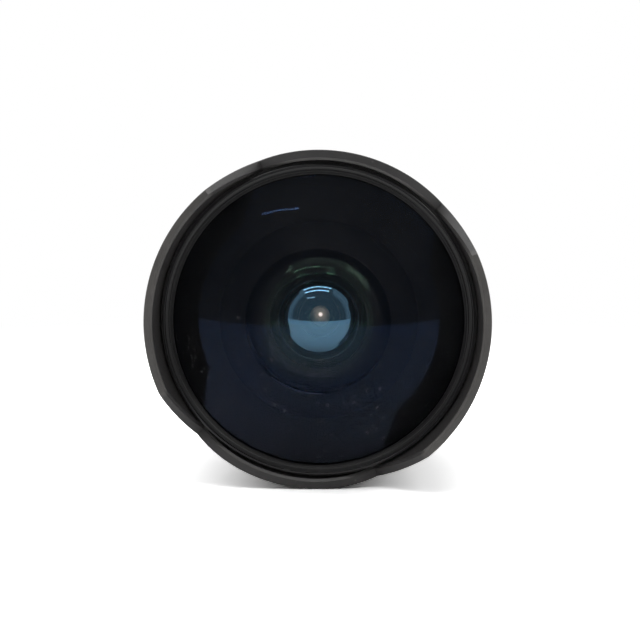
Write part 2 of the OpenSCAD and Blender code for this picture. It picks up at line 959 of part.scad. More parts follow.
module focus_cell() {
    web_z = cell_back;
    color("darkgray")
        lens_frame()
            difference() {
                union() {
                    ring(guide_in, guide_r, cell_z, cell_z + guide_len);
                    ring(fore_bore, guide_in + 0.2, web_z, web_z + web_t);
                    ring(fore_bore, fore_wall_r, web_z, fore_seat + 0.1);
                    ring(fore_lip, nose_r, fore_seat, fore_seat + fore_lip_t);
                    ring(second_hold, nose_r, fore_seat, second_seat);
                    ring(second_bore, nose_r, second_seat, nose_z);
                }
                for (a = follow_angles)
                    radial(a, follow_z)
                        rod(follower_d / 2 + fit - 0.4, guide_in - 2, guide_r + 1);
            }
}

module cam_followers() {
    color("silver")
        lens_frame()
            for (a = follow_angles)
                radial(a, follow_z) {
                    rod(follower_d / 2 - 0.4, guide_in - 0.5, guide_r + run);
                    rod(follower_d / 2, guide_r + run, cam_r - 0.2);
                }
}

module lens_2() {
    color("lightblue")
        lens_frame()
            difference() {
                intersection() {
                    rod(second_r, second_seat, z2);
                    translate([0, 0, z2 - r2])
                        sphere(r2, $fn = glass_fn);
                }
                translate([0, 0, second_seat + sag(r2r, bowl2_r) - r2r])
                    sphere(r2r, $fn = glass_fn);
            }
}

module lens_3() {
    color("lightblue")
        lens_frame()
            element(fore_r, z3, r3, z34, r34);
}

module lens_4() {
    color("lightblue")
        lens_frame()
            element(fore_r, z4, -r34, z4r, -r4);
}

module second_retaining_ring() {
    color("black")
        lens_frame()
            ring(second_hold, second_r, second_ring_z, nose_z);
}

module fore_retaining_ring() {
    color("black")
        lens_frame()
            ring(fore_hold, fore_r, fore_ring_z - fore_ring_len, fore_ring_z);
}

// Aperture

module aperture_ring() {
    chamfer = 0.4;
    flute_r = 1.6;
    flute_depth = 0.5;
    z1 = aperture_z + aperture_len;
    color([0.12, 0.12, 0.13])
        lens_frame()
            difference() {
                rotate_extrude()
                    polygon([
                        [aperture_bore, aperture_z], [aperture_r - chamfer, aperture_z],
                        [aperture_r, aperture_z + chamfer], [aperture_r, z1 - chamfer],
                        [aperture_r - chamfer, z1], [aperture_bore, z1]
                    ]);
                for (i = [0 : flutes - 1])
                    rotate(360 / flutes * (i + 0.5))
                        translate([aperture_r + flute_r - flute_depth, 0, 0])
                            rod(flute_r, aperture_z - 1, aperture_z + aperture_len * 0.28);
                for (i = [0 : clicks - 1])
                    rotate(click_angle + click_step * i)
                        translate([aperture_bore + 0.2, 0, 0])
                            rod(0.6, click_z - 0.9, click_z + 0.9);
                radial(arm_angle, drive_z)
                    rod(drive_pin_d / 2 + fit, aperture_bore - 1, aperture_r + 1);
            }
}

module aperture_pin() {
    color("silver")
        lens_frame()
            radial(arm_angle, drive_z)
                rod(drive_pin_d / 2, arm_in + 0.2, aperture_r - 0.3);
}

module aperture_arm() {
    color("goldenrod")
        lens_frame()
            difference() {
                rotate(arm_angle)
                    translate([arm_in, -arm_w / 2, drive_z - arm_w / 2])
                        cube([arm_t, arm_w, iris_z + cam_ring_t - drive_z + arm_w / 2]);
                radial(arm_angle, drive_z)
                    rod(drive_pin_d / 2 + fit, arm_in - 1, arm_r + 1);
            }
}

module iris_cam_ring() {
    color("goldenrod")
        lens_frame()
            difference() {
                union() {
                    ring(cam_ring_in, cam_ring_r, iris_z, iris_z + cam_ring_t);
                    rotate(arm_angle)
                        translate([cam_ring_r - cam_rim, -tab_w / 2, iris_z])
                            cube([arm_r - cam_ring_r + cam_rim - fit, tab_w, cam_ring_t]);
                }
                rotate(arm_angle)
                    translate([arm_in - fit, -arm_w / 2 - fit, iris_z - 1])
                        cube([arm_t + 1, arm_w + 2 * fit, cam_ring_t + 2]);
                for (i = [0 : blade_count - 1])
                    rotate(360 / blade_count * i)
                        translate([0, 0, iris_z - 1])
                            linear_extrude(cam_ring_t + 2)
                                cam_track();
            }
}

// Curved slot that one blade's drive pin follows
module cam_track() {
    turns = [for (i = [0 : cam_slot_steps]) aperture_turn * i / cam_slot_steps];
    cap = [for (i = [1 : cap_steps - 1]) 180 * i / cap_steps];
    polygon(concat(
        [for (a = turns) cam_side(a, 90)],
        [for (b = cap) cam_side(aperture_turn, 90 - b)],
        [for (i = [cam_slot_steps : -1 : 0]) cam_side(turns[i], -90)],
        [for (b = cap) cam_side(0, -90 - b)]
    ));
}

// Iris

module iris_housing() {
    color("dimgray")
        lens_frame()
            difference() {
                union() {
                    ring(open_r, bore_r - fit, plate_z, plate_end);
                    ring(iris_in, iris_r, iris_back, plate_z + 0.1);
                }
                ring(iris_in - eps, iris_in + snap_depth, snap_z - fit, snap_z + snap_t + fit);
                arc(iris_in - eps, iris_r + eps, iris_back - eps, iris_z + cam_ring_t + layer_gap,
                    arm_angle - aperture_turn - window_reach, arm_angle + window_reach);
                around([for (i = [0 : blade_count - 1]) 360 / blade_count * i], pivot_r)
                    rod(pin_r + run, plate_z - 1, plate_z + pivot_depth);
                iris_plate_screws(fit);
            }
}

// Three screws from behind that hold the iris housing on its shoulder
module iris_plate_screws(room = 0) {
    around(screw_angles, (shoulder_in + bore_r) / 2)
        translate([0, 0, plate_z])
            screw(screw_d, screw_head_d, screw_head_h, iris_plate_t + shoulder_t * 0.8 + room, room);
}

module iris_screws() {
    color("dimgray")
        lens_frame()
            iris_plate_screws();
}

module iris_snap_ring() {
    color("silver")
        lens_frame()
            arc(iris_in - snap_reach, iris_in + snap_depth - fit, snap_z, snap_z + snap_t,
                arm_angle + window_reach + snap_gap, arm_angle - aperture_turn - window_reach - snap_gap + 360);
}

module iris_blade_1() { color("gray") blade(0); }
module iris_blade_2() { color("gray") blade(1); }
module iris_blade_3() { color("gray") blade(2); }
module iris_blade_4() { color("gray") blade(3); }
module iris_blade_5() { color("gray") blade(4); }
module iris_blade_6() { color("gray") blade(5); }

// Rear cell

module rear_cell() {
    color("darkgray")
        lens_frame()
            difference() {
                union() {
                    ring(rear_bore, rear_cell_r, rear_cell_back, rear_lip_z + 0.1);
                    ring(mid_lip, rear_cell_r, rear_lip_z, z6);
                    ring(mid_bore, rear_cell_r, z6 - 0.1, rear_cell_end);
                    ring(rear_cell_r - 0.5, bore_r - fit, cell_flange_z, cell_flange_z + shoulder_t);
                }
                cell_flange_screws(fit);
            }
}

// Three screws from behind that hold the rear cell on its shoulder
module cell_flange_screws(room = 0) {
    around(screw_angles, (shoulder_in + bore_r) / 2)
        translate([0, 0, cell_flange_z])
            screw(screw_d, screw_head_d, screw_head_h, 1.6 * shoulder_t + room, room);
}

module rear_cell_screws() {
    color("dimgray")
        lens_frame()
            cell_flange_screws();
}

module lens_5() {
    color("lightblue")
        lens_frame()
            element(mid_lens_r, z5, r5, z56, r56);
}

module lens_6() {
    color("lightblue")
        lens_frame()
            element(mid_lens_r, z56 - cement, -r56, z6, 0);
}

module lens_7() {
    color("lightblue")
        lens_frame()
            element(rear_lens_r, z7, r7[0], z7r, r7[1]);
}

module lens_8() {
    color("lightblue")
        lens_frame()
            element(rear_lens_r, z8, r8, z8r, -r89);
}

module lens_9() {
    color("lightblue")
        lens_frame()
            element(rear_lens_r, z9, r89, z9r, r9);
}

module lens_10() {
    color("lightblue")
        lens_frame()
            element(rear_lens_r, z10, r10[0], z10r, r10[1]);
}

module mid_retaining_ring() {
    color("black")
        lens_frame()
            ring(mid_hold, mid_lens_r, z5 - sag(r5, mid_hold), rear_cell_end - 0.1);
}

module spacer_ring_7() {
    color("black")
        lens_frame()
            ring(rear_hold, rear_lens_r, z8 + sag(-r8, rear_lens_r), z7r + sag(r7[1], rear_hold));
}

module spacer_ring_9() {
    color("black")
        lens_frame()
            ring(rear_hold, rear_lens_r, z10 - sag(r10[0], rear_hold), z9r + sag(r9, rear_hold));
}

module rear_retaining_ring() {
    color("black")
        lens_frame()
            ring(rear_hold, rear_lens_r, rear_ring_z, rear_ring_z + rear_ring_len);
}

bayonet_mount();
mount_screws();
mount_index_bead();
rear_baffle();
rear_barrel();
rear_barrel_screws();
click_spring();
click_ball();
main_barrel();
scale_ring();
scale_ring_screws();
rear_cell();
rear_cell_screws();
lens_5();
lens_6();
lens_7();
lens_8();
lens_9();
lens_10();
mid_retaining_ring();
spacer_ring_7();
spacer_ring_9();
rear_retaining_ring();
iris_housing();
iris_screws();
iris_snap_ring();
front_barrel();
front_barrel_screws();
front_baffle();
front_lens();
front_seal();
front_retaining_ring();
hood();
hood_screws();
focus_ring();
focus_grip();
focus_cam();
focus_ring_screws();
focus_cell();
cam_followers();
lens_2();
lens_3();
lens_4();
second_retaining_ring();
fore_retaining_ring();
aperture_ring();
aperture_pin();
aperture_arm();
iris_cam_ring();
iris_blade_1();
iris_blade_2();
iris_blade_3();
iris_blade_4();
iris_blade_5();
iris_blade_6();
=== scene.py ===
"""Fisheye lens with a petal hood: finishes, modelled pieces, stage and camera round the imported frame."""

import logging
import math
from dataclasses import dataclass
from enum import Enum
from functools import cache
from typing import Callable, ClassVar, Iterable, Optional, Sequence

import bpy
from mathutils import Matrix, Vector


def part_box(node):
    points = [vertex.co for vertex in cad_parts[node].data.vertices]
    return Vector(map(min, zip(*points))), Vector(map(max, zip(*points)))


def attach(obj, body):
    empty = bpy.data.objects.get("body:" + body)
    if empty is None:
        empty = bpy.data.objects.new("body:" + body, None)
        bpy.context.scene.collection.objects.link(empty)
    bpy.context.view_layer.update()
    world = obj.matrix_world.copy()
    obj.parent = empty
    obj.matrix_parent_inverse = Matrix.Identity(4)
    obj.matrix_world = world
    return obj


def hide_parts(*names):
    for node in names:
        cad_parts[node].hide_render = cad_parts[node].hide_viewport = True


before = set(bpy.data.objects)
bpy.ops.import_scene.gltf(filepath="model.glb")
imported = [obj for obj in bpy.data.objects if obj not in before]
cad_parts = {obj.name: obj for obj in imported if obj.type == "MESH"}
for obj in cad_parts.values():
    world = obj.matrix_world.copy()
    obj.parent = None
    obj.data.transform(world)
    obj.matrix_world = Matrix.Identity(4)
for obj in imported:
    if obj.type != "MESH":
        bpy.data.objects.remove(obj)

LOG = logging.getLogger("fisheye_lens")

# Pieces are measured in mm, and the stage in metres like the scene
MM = 0.001
MERGE_DISTANCE = 1e-6
SMOOTH_ANGLE = math.radians(32)
TOLERANCE = 0.01
LIGHT_BOUNCES = 32

Colour = tuple[float, float, float]
Point = tuple[float, float]
Profile = Sequence[Point]


# Measures taken from the frame


@cache
def node_box(node: str) -> tuple[Vector, Vector]:
    """Lowest and highest corner of a CAD node at rest, in metres, measured once."""
    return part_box(node)


def node_radius(node: str) -> float:
    """Outer radius of a CAD node about the optical axis, in mm."""
    low, high = node_box(node)
    return max(high.x, high.z, -low.x, -low.z) / MM


def node_rear(node: str) -> float:
    """Station of a CAD node's rear end, in mm forward of the flange."""
    return -node_box(node)[1].y / MM


def node_front(node: str) -> float:
    """Station of a CAD node's front end, in mm forward of the flange."""
    return -node_box(node)[0].y / MM


# Modelling steps that the pieces share


def clear_selection() -> None:
    """Leaves edit mode and deselects every object."""
    if bpy.context.object and bpy.context.object.mode != "OBJECT":
        bpy.ops.object.mode_set(mode="OBJECT")
    bpy.ops.object.select_all(action="DESELECT")


def activate(piece: bpy.types.Object) -> None:
    """Makes one object the only selected and active one.

    Args:
        piece: The object.
    """
    clear_selection()
    piece.select_set(True)
    bpy.context.view_layer.objects.active = piece


def name_piece(piece: bpy.types.Object, name: str) -> None:
    """Names an object and its mesh."""
    piece.name = name
    piece.data.name = name


def apply_place() -> None:
    """Moves the active object's place, turn and scale into its mesh."""
    bpy.ops.object.transform_apply(location=True, rotation=True, scale=True)


def edit_all() -> None:
    """Enters edit mode on the active object with everything selected."""
    bpy.ops.object.mode_set(mode="EDIT")
    bpy.ops.mesh.select_mode(type="VERT")
    bpy.ops.mesh.select_all(action="SELECT")


def finish_mesh(piece: bpy.types.Object) -> bpy.types.Object:
    """Merges doubles, points the faces outwards and smooths them up to the crease angle.

    Args:
        piece: The object whose mesh is finished.

    Returns:
        The same object.
    """
    activate(piece)
    edit_all()
    bpy.ops.mesh.remove_doubles(threshold=MERGE_DISTANCE)
    bpy.ops.mesh.normals_make_consistent(inside=False)
    bpy.ops.object.mode_set(mode="OBJECT")
    bpy.ops.object.shade_smooth_by_angle(angle=SMOOTH_ANGLE)
    return piece


def turn_on_lathe(name: str, profile: Profile, steps: int = 192, closed: bool = False) -> bpy.types.Object:
    """Draws a profile point by point and spins it round the optical axis.

    Args:
        name: Name of the new piece.
        profile: Points as (radius, station) in mm.
        steps: Facets round the axis.
        closed: Joins the last point to the first, as for a ring.

    Returns:
        The new object, at the origin.
    """
    points = list(profile) + ([profile[0]] if closed else [])
    radius, station = points[0]
    clear_selection()
    bpy.ops.mesh.primitive_plane_add(size=MM, location=(radius * MM, -station * MM, 0))
    piece = bpy.context.object
    name_piece(piece, name)
    apply_place()
    edit_all()
    bpy.ops.mesh.merge(type="CENTER")
    for next_radius, next_station in points[1:]:
        step = ((next_radius - radius) * MM, (station - next_station) * MM, 0)
        bpy.ops.mesh.extrude_vertices_move(TRANSFORM_OT_translate={"value": step})
        radius, station = next_radius, next_station
    bpy.ops.mesh.select_all(action="SELECT")
    bpy.ops.mesh.spin(steps=steps, angle=2 * math.pi, center=(0, 0, 0), axis=(0, 1, 0))
    bpy.ops.object.mode_set(mode="OBJECT")
    return finish_mesh(piece)


def apply_modifier(piece: bpy.types.Object, kind: str, **settings: object) -> None:
    """Adds a modifier with its settings and applies it.

    Args:
        piece: The object to change.
        kind: Blender's name for the kind of modifier.
        **settings: Values set on the modifier first.
    """
    activate(piece)
    modifier = piece.modifiers.new(kind.lower(), kind)
    for key, value in settings.items():
        setattr(modifier, key, value)
    bpy.ops.object.modifier_apply(modifier=modifier.name)


def cut_with(piece: bpy.types.Object, cutter: bpy.types.Object) -> None:
    """Takes a cutter's shape out of a piece and removes the cutter."""
    apply_modifier(piece, "BOOLEAN", operation="DIFFERENCE", solver="EXACT", object=cutter)
    bpy.data.objects.remove(cutter)


def join_pieces(pieces: Sequence[bpy.types.Object], name: str) -> bpy.types.Object:
    """Joins objects into one.

    Args:
        pieces: The objects, of which the first gives its place.
        name: Name of the joined piece.

    Returns:
        The joined object.
    """
    activate(pieces[0])
    for piece in pieces[1:]:
        piece.select_set(True)
    bpy.ops.object.join()
    name_piece(pieces[0], name)
    return pieces[0]


def copy_piece(piece: bpy.types.Object) -> bpy.types.Object:
    """Copies an object together with its mesh.

    Args:
        piece: The object to copy.

    Returns:
        The copy.
    """
    twin = piece.copy()
    twin.data = piece.data.copy()
    bpy.context.scene.collection.objects.link(twin)
    return twin


def select_edges(piece: bpy.types.Object, wanted: Callable[[Vector, Vector], bool]) -> None:
    """Enters edit mode with only the edges selected whose two ends pass a test.

    Args:
        piece: The object to work on.
        wanted: Test on an edge's two ends.
    """
    activate(piece)
    bpy.ops.object.mode_set(mode="EDIT")
    bpy.ops.mesh.select_mode(type="EDGE")
    bpy.ops.mesh.select_all(action="DESELECT")
    bpy.ops.object.mode_set(mode="OBJECT")
    places = [vertex.co.copy() for vertex in piece.data.vertices]
    for edge in piece.data.edges:
        start, end = edge.vertices
        edge.select = wanted(places[start], places[end])
    bpy.ops.object.mode_set(mode="EDIT")


def axis_angle(place: Vector) -> float:
    """Angle of a point about the optical axis, in degrees from +X towards +Z."""
    return math.degrees(math.atan2(place.z, place.x))


def axis_radius(place: Vector) -> float:
    """Distance of a point from the optical axis, in mm."""
    return math.hypot(place.x, place.z) / MM


# Node trees


class Wiring:
    """A node tree with short ways to add and join nodes."""

    def __init__(self, tree: bpy.types.NodeTree) -> None:
        """Takes hold of a tree."""
        self.tree = tree

    def add(self, kind: str, **settings: object) -> bpy.types.Node:
        """Adds a node.

        Args:
            kind: Node type, without its ShaderNode prefix.
            **settings: Attributes of the node. Keys that name an input set that input instead.

        Returns:
            The new node.
        """
        node = self.tree.nodes.new("ShaderNode" + kind)
        for key, value in settings.items():
            socket = key.replace("_", " ").title()
            if isinstance(value, bpy.types.NodeSocket):
                self.tree.links.new(value, node.inputs[socket])
            elif hasattr(node, key):
                setattr(node, key, value)
            else:
                node.inputs[socket].default_value = value
        return node

    def link(self, start: bpy.types.NodeSocket, end: bpy.types.NodeSocket) -> None:
        """Joins an output to an input."""
        self.tree.links.new(start, end)

    def sum(self, operation: str, first: object, second: object = 0.0) -> bpy.types.NodeSocket:
        """Does arithmetic on two values.

        Args:
            operation: Blender's name for the operation.
            first: A socket or a number.
            second: A socket or a number.

        Returns:
            The result's socket.
        """
        node = self.tree.nodes.new("ShaderNodeMath")
        node.operation = operation
        for socket, value in zip(node.inputs, (first, second)):
            if isinstance(value, bpy.types.NodeSocket):
                self.tree.links.new(value, socket)
            else:
                socket.default_value = value
        return node.outputs[0]

    def ramp(self, value: bpy.types.NodeSocket, low: float, high: float,
             to_low: float = 0.0, to_high: float = 1.0) -> bpy.types.NodeSocket:
        """Maps a value smoothly from one range to another.

        Args:
            value: The socket to map.
            low: Start of its range.
            high: End of its range.
            to_low: Result at the start.
            to_high: Result at the end.

        Returns:
            The result's socket.
        """
        node = self.tree.nodes.new("ShaderNodeMapRange")
        node.interpolation_type = "SMOOTHSTEP"
        self.tree.links.new(value, node.inputs["Value"])
        node.inputs["From Min"].default_value = low
        node.inputs["From Max"].default_value = high
        node.inputs["To Min"].default_value = to_low
        node.inputs["To Max"].default_value = to_high
        return node.outputs["Result"]

    def blend(self, share: bpy.types.NodeSocket, first: object, second: object) -> bpy.types.NodeSocket:
        """Mixes two colours.

        Args:
            share: How much of the second colour shows.
            first: A socket or a colour.
            second: A socket or a colour.

        Returns:
            The mixed colour's socket.
        """
        node = self.tree.nodes.new("ShaderNodeMix")
        node.data_type = "RGBA"
        self.tree.links.new(share, node.inputs[0])
        for socket, value in zip((node.inputs[6], node.inputs[7]), (first, second)):
            if isinstance(value, bpy.types.NodeSocket):
                self.tree.links.new(value, socket)
            else:
                socket.default_value = (*value, 1.0)
        return node.outputs[2]


class Effect(Enum):
    """Surface effects that several finishes share, each one node group."""

    GRAIN = "moulded_grain"
    LINES = "turned_lines"
    DUST = "dust_specks"
    SMEAR = "handling_smears"


class Effects:
    """Builds each shared effect once, as a node group."""

    def __init__(self) -> None:
        """Starts with no group built."""
        self.groups: dict[Effect, bpy.types.NodeTree] = {}
        self.builders: dict[Effect, Callable[[], bpy.types.NodeTree]] = {
            Effect.GRAIN: self.build_grain,
            Effect.LINES: self.build_lines,
            Effect.DUST: self.build_dust,
            Effect.SMEAR: self.build_smear,
        }

    def group(self, effect: Effect) -> bpy.types.NodeTree:
        """Gives the node group of an effect, and builds it at first use.

        Args:
            effect: The effect wanted.

        Returns:
            Its node group.
        """
        if effect not in self.groups:
            self.groups[effect] = self.builders[effect]()
        return self.groups[effect]

    def start(self, effect: Effect, inputs: dict[str, float], output: str) -> tuple[Wiring, dict, object]:
        """Starts a group with its sockets.

        Args:
            effect: The effect that the group is for.
            inputs: Names of the inputs with their first values.
            output: Name of the one output.

        Returns:
            The wiring, the inputs' sockets by name, and the output's socket.
        """
        tree = bpy.data.node_groups.new(effect.value, "ShaderNodeTree")
        for name, value in inputs.items():
            socket = tree.interface.new_socket(name, in_out="INPUT", socket_type="NodeSocketFloat")
            socket.default_value = value
        tree.interface.new_socket(output, in_out="OUTPUT", socket_type="NodeSocketFloat")
        entry = tree.nodes.new("NodeGroupInput")
        end = tree.nodes.new("NodeGroupOutput")
        return Wiring(tree), {name: entry.outputs[name] for name in inputs}, end.inputs[output]

    def build_grain(self) -> bpy.types.NodeTree:
        """Makes the pebbled grain of a moulded or sprayed surface.

        Returns:
            The node group.
        """
        wiring, inputs, end = self.start(Effect.GRAIN, {"Scale": 3000.0}, "Height")
        place = wiring.add("TexCoord").outputs["Object"]
        noise = wiring.add("TexNoise", vector=place, scale=inputs["Scale"], detail=3.0, roughness=0.6)
        cells = wiring.add("TexVoronoi", vector=place, scale=inputs["Scale"])
        rough = wiring.sum("MULTIPLY", cells.outputs["Distance"], 0.6)
        wiring.link(wiring.sum("ADD", noise.outputs["Fac"], rough), end)
        return wiring.tree

    def build_lines(self) -> bpy.types.NodeTree:
        """Makes the fine rings that a lathe leaves round the optical axis.

        Returns:
            The node group.
        """
        wiring, inputs, end = self.start(Effect.LINES, {"Pitch": 2500.0}, "Height")
        place = wiring.add("SeparateXYZ", vector=wiring.add("TexCoord").outputs["Object"])
        across = wiring.sum("MULTIPLY", place.outputs["X"], place.outputs["X"])
        up = wiring.sum("MULTIPLY", place.outputs["Z"], place.outputs["Z"])
        radius = wiring.sum("SQRT", wiring.sum("ADD", across, up))
        along = wiring.add("CombineXYZ", x=radius, y=place.outputs["Y"])
        noise = wiring.add("TexNoise", vector=along.outputs[0], scale=inputs["Pitch"], detail=4.0,
                           roughness=0.7)
        wiring.link(noise.outputs["Fac"], end)
        return wiring.tree

    def build_dust(self) -> bpy.types.NodeTree:
        """Makes scattered dust: small uneven specks, thicker in some places.

        Returns:
            The node group.
        """
        thin, thick = 0.7, 1.3
        least_size, more_size, unevenness = 0.54, 0.16, 0.25
        wiring, inputs, end = self.start(Effect.DUST, {"Scale": 350.0, "Amount": 0.1}, "Mask")
        place = wiring.add("TexCoord").outputs["Object"]
        ragged = wiring.add("TexNoise", vector=place, scale=9000.0, detail=2.0)
        specks = wiring.add("TexVoronoi", vector=place, scale=inputs["Scale"])
        patches = wiring.add("TexNoise", vector=place, scale=45.0, detail=2.0)
        chance = wiring.add("SeparateColor", color=specks.outputs["Color"])
        cover = wiring.ramp(patches.outputs["Fac"], 0.35, 0.65, thin, thick)
        amount = wiring.sum("MULTIPLY", inputs["Amount"], cover)
        there = wiring.sum("LESS_THAN", chance.outputs["Red"], amount)
        size = wiring.sum("ADD", wiring.sum("MULTIPLY", chance.outputs["Green"], more_size), least_size)
        wobble = wiring.sum("MULTIPLY", wiring.sum("SUBTRACT", ragged.outputs["Fac"], 0.5), unevenness)
        body = wiring.sum("LESS_THAN", wiring.sum("ADD", specks.outputs["Distance"], wobble), size)
        strength = wiring.sum("MULTIPLY", wiring.sum("MULTIPLY", there, body), chance.outputs["Blue"])
        wiring.link(strength, end)
        return wiring.tree

    def build_smear(self) -> bpy.types.NodeTree:
        """Makes the soft patches that handling leaves on a finish.

        Returns:
            The node group.
        """
        wiring, inputs, end = self.start(Effect.SMEAR, {"Scale": 60.0, "Low": 0.3, "High": 0.5}, "Value")
        place = wiring.add("TexCoord").outputs["Object"]
        noise = wiring.add("TexNoise", vector=place, scale=inputs["Scale"], detail=5.0, roughness=0.65)
        share = wiring.ramp(noise.outputs["Fac"], 0.3, 0.7)
        span = wiring.sum("SUBTRACT", inputs["High"], inputs["Low"])
        wiring.link(wiring.sum("ADD", inputs["Low"], wiring.sum("MULTIPLY", share, span)), end)
        return wiring.tree


EFFECTS = Effects()


# Finishes


class Finish:
    """A named finish that makes its material at first use."""

    name: str
    slot: str
    made: ClassVar[dict[str, bpy.types.Material]] = {}

    def material(self) -> bpy.types.Material:
        """Gives the finish's material.

        Returns:
            The material, made at first use.
        """
        if self.name not in self.made:
            self.made[self.name] = self.build(bpy.data.materials.new(self.name))
        return self.made[self.name]

    def build(self, made: bpy.types.Material) -> bpy.types.Material:
        """Fills in a new material."""
        raise NotImplementedError

    def dress(self, *pieces: bpy.types.Object) -> None:
        """Gives pieces this finish all over.

        Args:
            *pieces: The pieces.
        """
        for piece in pieces:
            piece.data.materials.clear()
            piece.data.materials.append(self.material())

    @staticmethod
    def open_tree(made: bpy.types.Material) -> tuple[Wiring, bpy.types.Node]:
        """Opens a material's node tree.

        Args:
            made: The material.

        Returns:
            Its wiring and its Principled shader.
        """
        made.use_nodes = True
        return Wiring(made.node_tree), made.node_tree.nodes["Principled BSDF"]

    @staticmethod
    def effect(wiring: Wiring, effect: Effect, **values: float) -> bpy.types.NodeSocket:
        """Places a shared effect in a material.

        Args:
            wiring: The material's wiring.
            effect: The effect.
            **values: The group's inputs.

        Returns:
            The effect's output.
        """
        node = wiring.tree.nodes.new("ShaderNodeGroup")
        node.node_tree = EFFECTS.group(effect)
        for key, value in values.items():
            node.inputs[key.title()].default_value = value
        return node.outputs[0]


@dataclass(frozen=True)
class SolidFinish(Finish):
    """Opaque finish: plastic, rubber, paint or metal."""

    name: str
    slot: str
    colour: Colour
    roughness: float
    wander: float = 0.06
    metallic: float = 0.0
    shade: float = 0.25
    grain: float = 0.0
    grain_depth: float = 0.0
    lines: float = 0.0
    line_depth: float = 0.0
    dust: float = 0.0
    specular: float = 0.5
    # Stations over which the colour turns lighter: rubbed wear together with a painted highlight on the
    # tips.
    wear_and_highlight: Optional[Point] = None
    wear_and_highlight_colour: Colour = (0.10, 0.095, 0.09)
    smear_scale: ClassVar[float] = 70.0
    patch_scale: ClassVar[float] = 140.0
    dust_scale: ClassVar[float] = 2200.0
    dust_cover: ClassVar[float] = 0.2
    dust_colour: ClassVar[Colour] = (0.3, 0.29, 0.28)
    wear_highlight_scale: ClassVar[float] = 260.0
    wear_highlight_least: ClassVar[float] = 0.6

    def build(self, made: bpy.types.Material) -> bpy.types.Material:
        """Wires colour, roughness and bump.

        Args:
            made: The new material.

        Returns:
            The same material.
        """
        wiring, shader = self.open_tree(made)
        shader.inputs["Metallic"].default_value = self.metallic
        shader.inputs["Specular IOR Level"].default_value = self.specular
        smear = self.effect(wiring, Effect.SMEAR, scale=self.smear_scale, low=self.roughness - self.wander,
                            high=self.roughness + self.wander)
        wiring.link(smear, shader.inputs["Roughness"])
        patches = self.effect(wiring, Effect.SMEAR, scale=self.patch_scale, low=0.0, high=1.0)
        pale = tuple(min(1.0, part * (1 + self.shade)) for part in self.colour)
        dark = tuple(part * (1 - self.shade) for part in self.colour)
        colour = wiring.blend(patches, dark, pale)
        if self.dust:
            mask = self.effect(wiring, Effect.DUST, scale=self.dust_scale, amount=self.dust)
            colour = wiring.blend(wiring.sum("MULTIPLY", mask, self.dust_cover), colour, self.dust_colour)
        # Lightens the colour between the given stations, in patches: rubbed wear together with a painted
        # highlight.
        if self.wear_and_highlight:
            place = wiring.add("SeparateXYZ", vector=wiring.add("TexCoord").outputs["Object"])
            worn_and_lit = wiring.ramp(place.outputs["Y"], *self.wear_and_highlight)
            share = self.effect(wiring, Effect.SMEAR, scale=self.wear_highlight_scale, low=self.wear_highlight_least, high=1.0)
            colour = wiring.blend(wiring.sum("MULTIPLY", worn_and_lit, share), colour, self.wear_and_highlight_colour)
        wiring.link(colour, shader.inputs["Base Color"])
        self.add_bump(wiring, shader)
        return made

    def add_bump(self, wiring: Wiring, shader: bpy.types.Node) -> None:
        """Adds grain and turning lines as bump.

        Args:
            wiring: The material's wiring.
            shader: The shader whose normal is bumped.
        """
        normal = None
        layers = (
            (Effect.GRAIN, {"scale": self.grain}, self.grain_depth),
            (Effect.LINES, {"pitch": self.lines}, self.line_depth),
        )
        for effect, values, depth in layers:
            if not depth:
                continue
            bump = wiring.add("Bump", strength=1.0, distance=depth)
            wiring.link(self.effect(wiring, effect, **values), bump.inputs["Height"])
            if normal:
                wiring.link(normal, bump.inputs["Normal"])
            normal = bump.outputs["Normal"]
        if normal:
            wiring.link(normal, shader.inputs["Normal"])


@dataclass(frozen=True)
class GlassFinish(Finish):
    """Clear glass with an anti-reflection coating, which tints what is left of the reflection."""

    name: str
    slot: str
    ior: float
    coating: Colour
    dust: float = 0.0
    dust_scale: ClassVar[float] = 1400.0
    dust_roughness: ClassVar[float] = 0.75
    dust_ior: ClassVar[float] = 2.2
    dust_heights: ClassVar[Point] = (0.014, -0.008)
    dust_shares: ClassVar[Point] = (0.2, 0.65)
    haze_scale: ClassVar[float] = 90.0
    haze: ClassVar[Point] = (0.0315, 0.0585)

    def build(self, made: bpy.types.Material) -> bpy.types.Material:
        """Sets the glass and scatters dust on its coat.

        Args:
            made: The new material.

        Returns:
            The same material.
        """
        wiring, shader = self.open_tree(made)
        shader.inputs["Base Color"].default_value = (1.0, 1.0, 1.0, 1.0)
        shader.inputs["Roughness"].default_value = 0.0
        shader.inputs["Transmission Weight"].default_value = 1.0
        shader.inputs["IOR"].default_value = self.ior
        shader.inputs["Specular Tint"].default_value = (*self.coating, 1.0)
        if self.dust:
            shader.inputs["Coat Roughness"].default_value = self.dust_roughness
            shader.inputs["Coat IOR"].default_value = self.dust_ior
            specks = self.effect(wiring, Effect.DUST, scale=self.dust_scale, amount=self.dust)
            place = wiring.add("SeparateXYZ", vector=wiring.add("TexCoord").outputs["Object"])
            settled = wiring.ramp(place.outputs["Z"], *self.dust_heights, *self.dust_shares)
            clear, dim = self.haze
            veil = self.effect(wiring, Effect.SMEAR, scale=self.haze_scale, low=clear, high=dim)
            dusty = wiring.sum("MULTIPLY", specks, settled)
            wiring.link(wiring.sum("ADD", dusty, veil), shader.inputs["Coat Weight"])
        return made
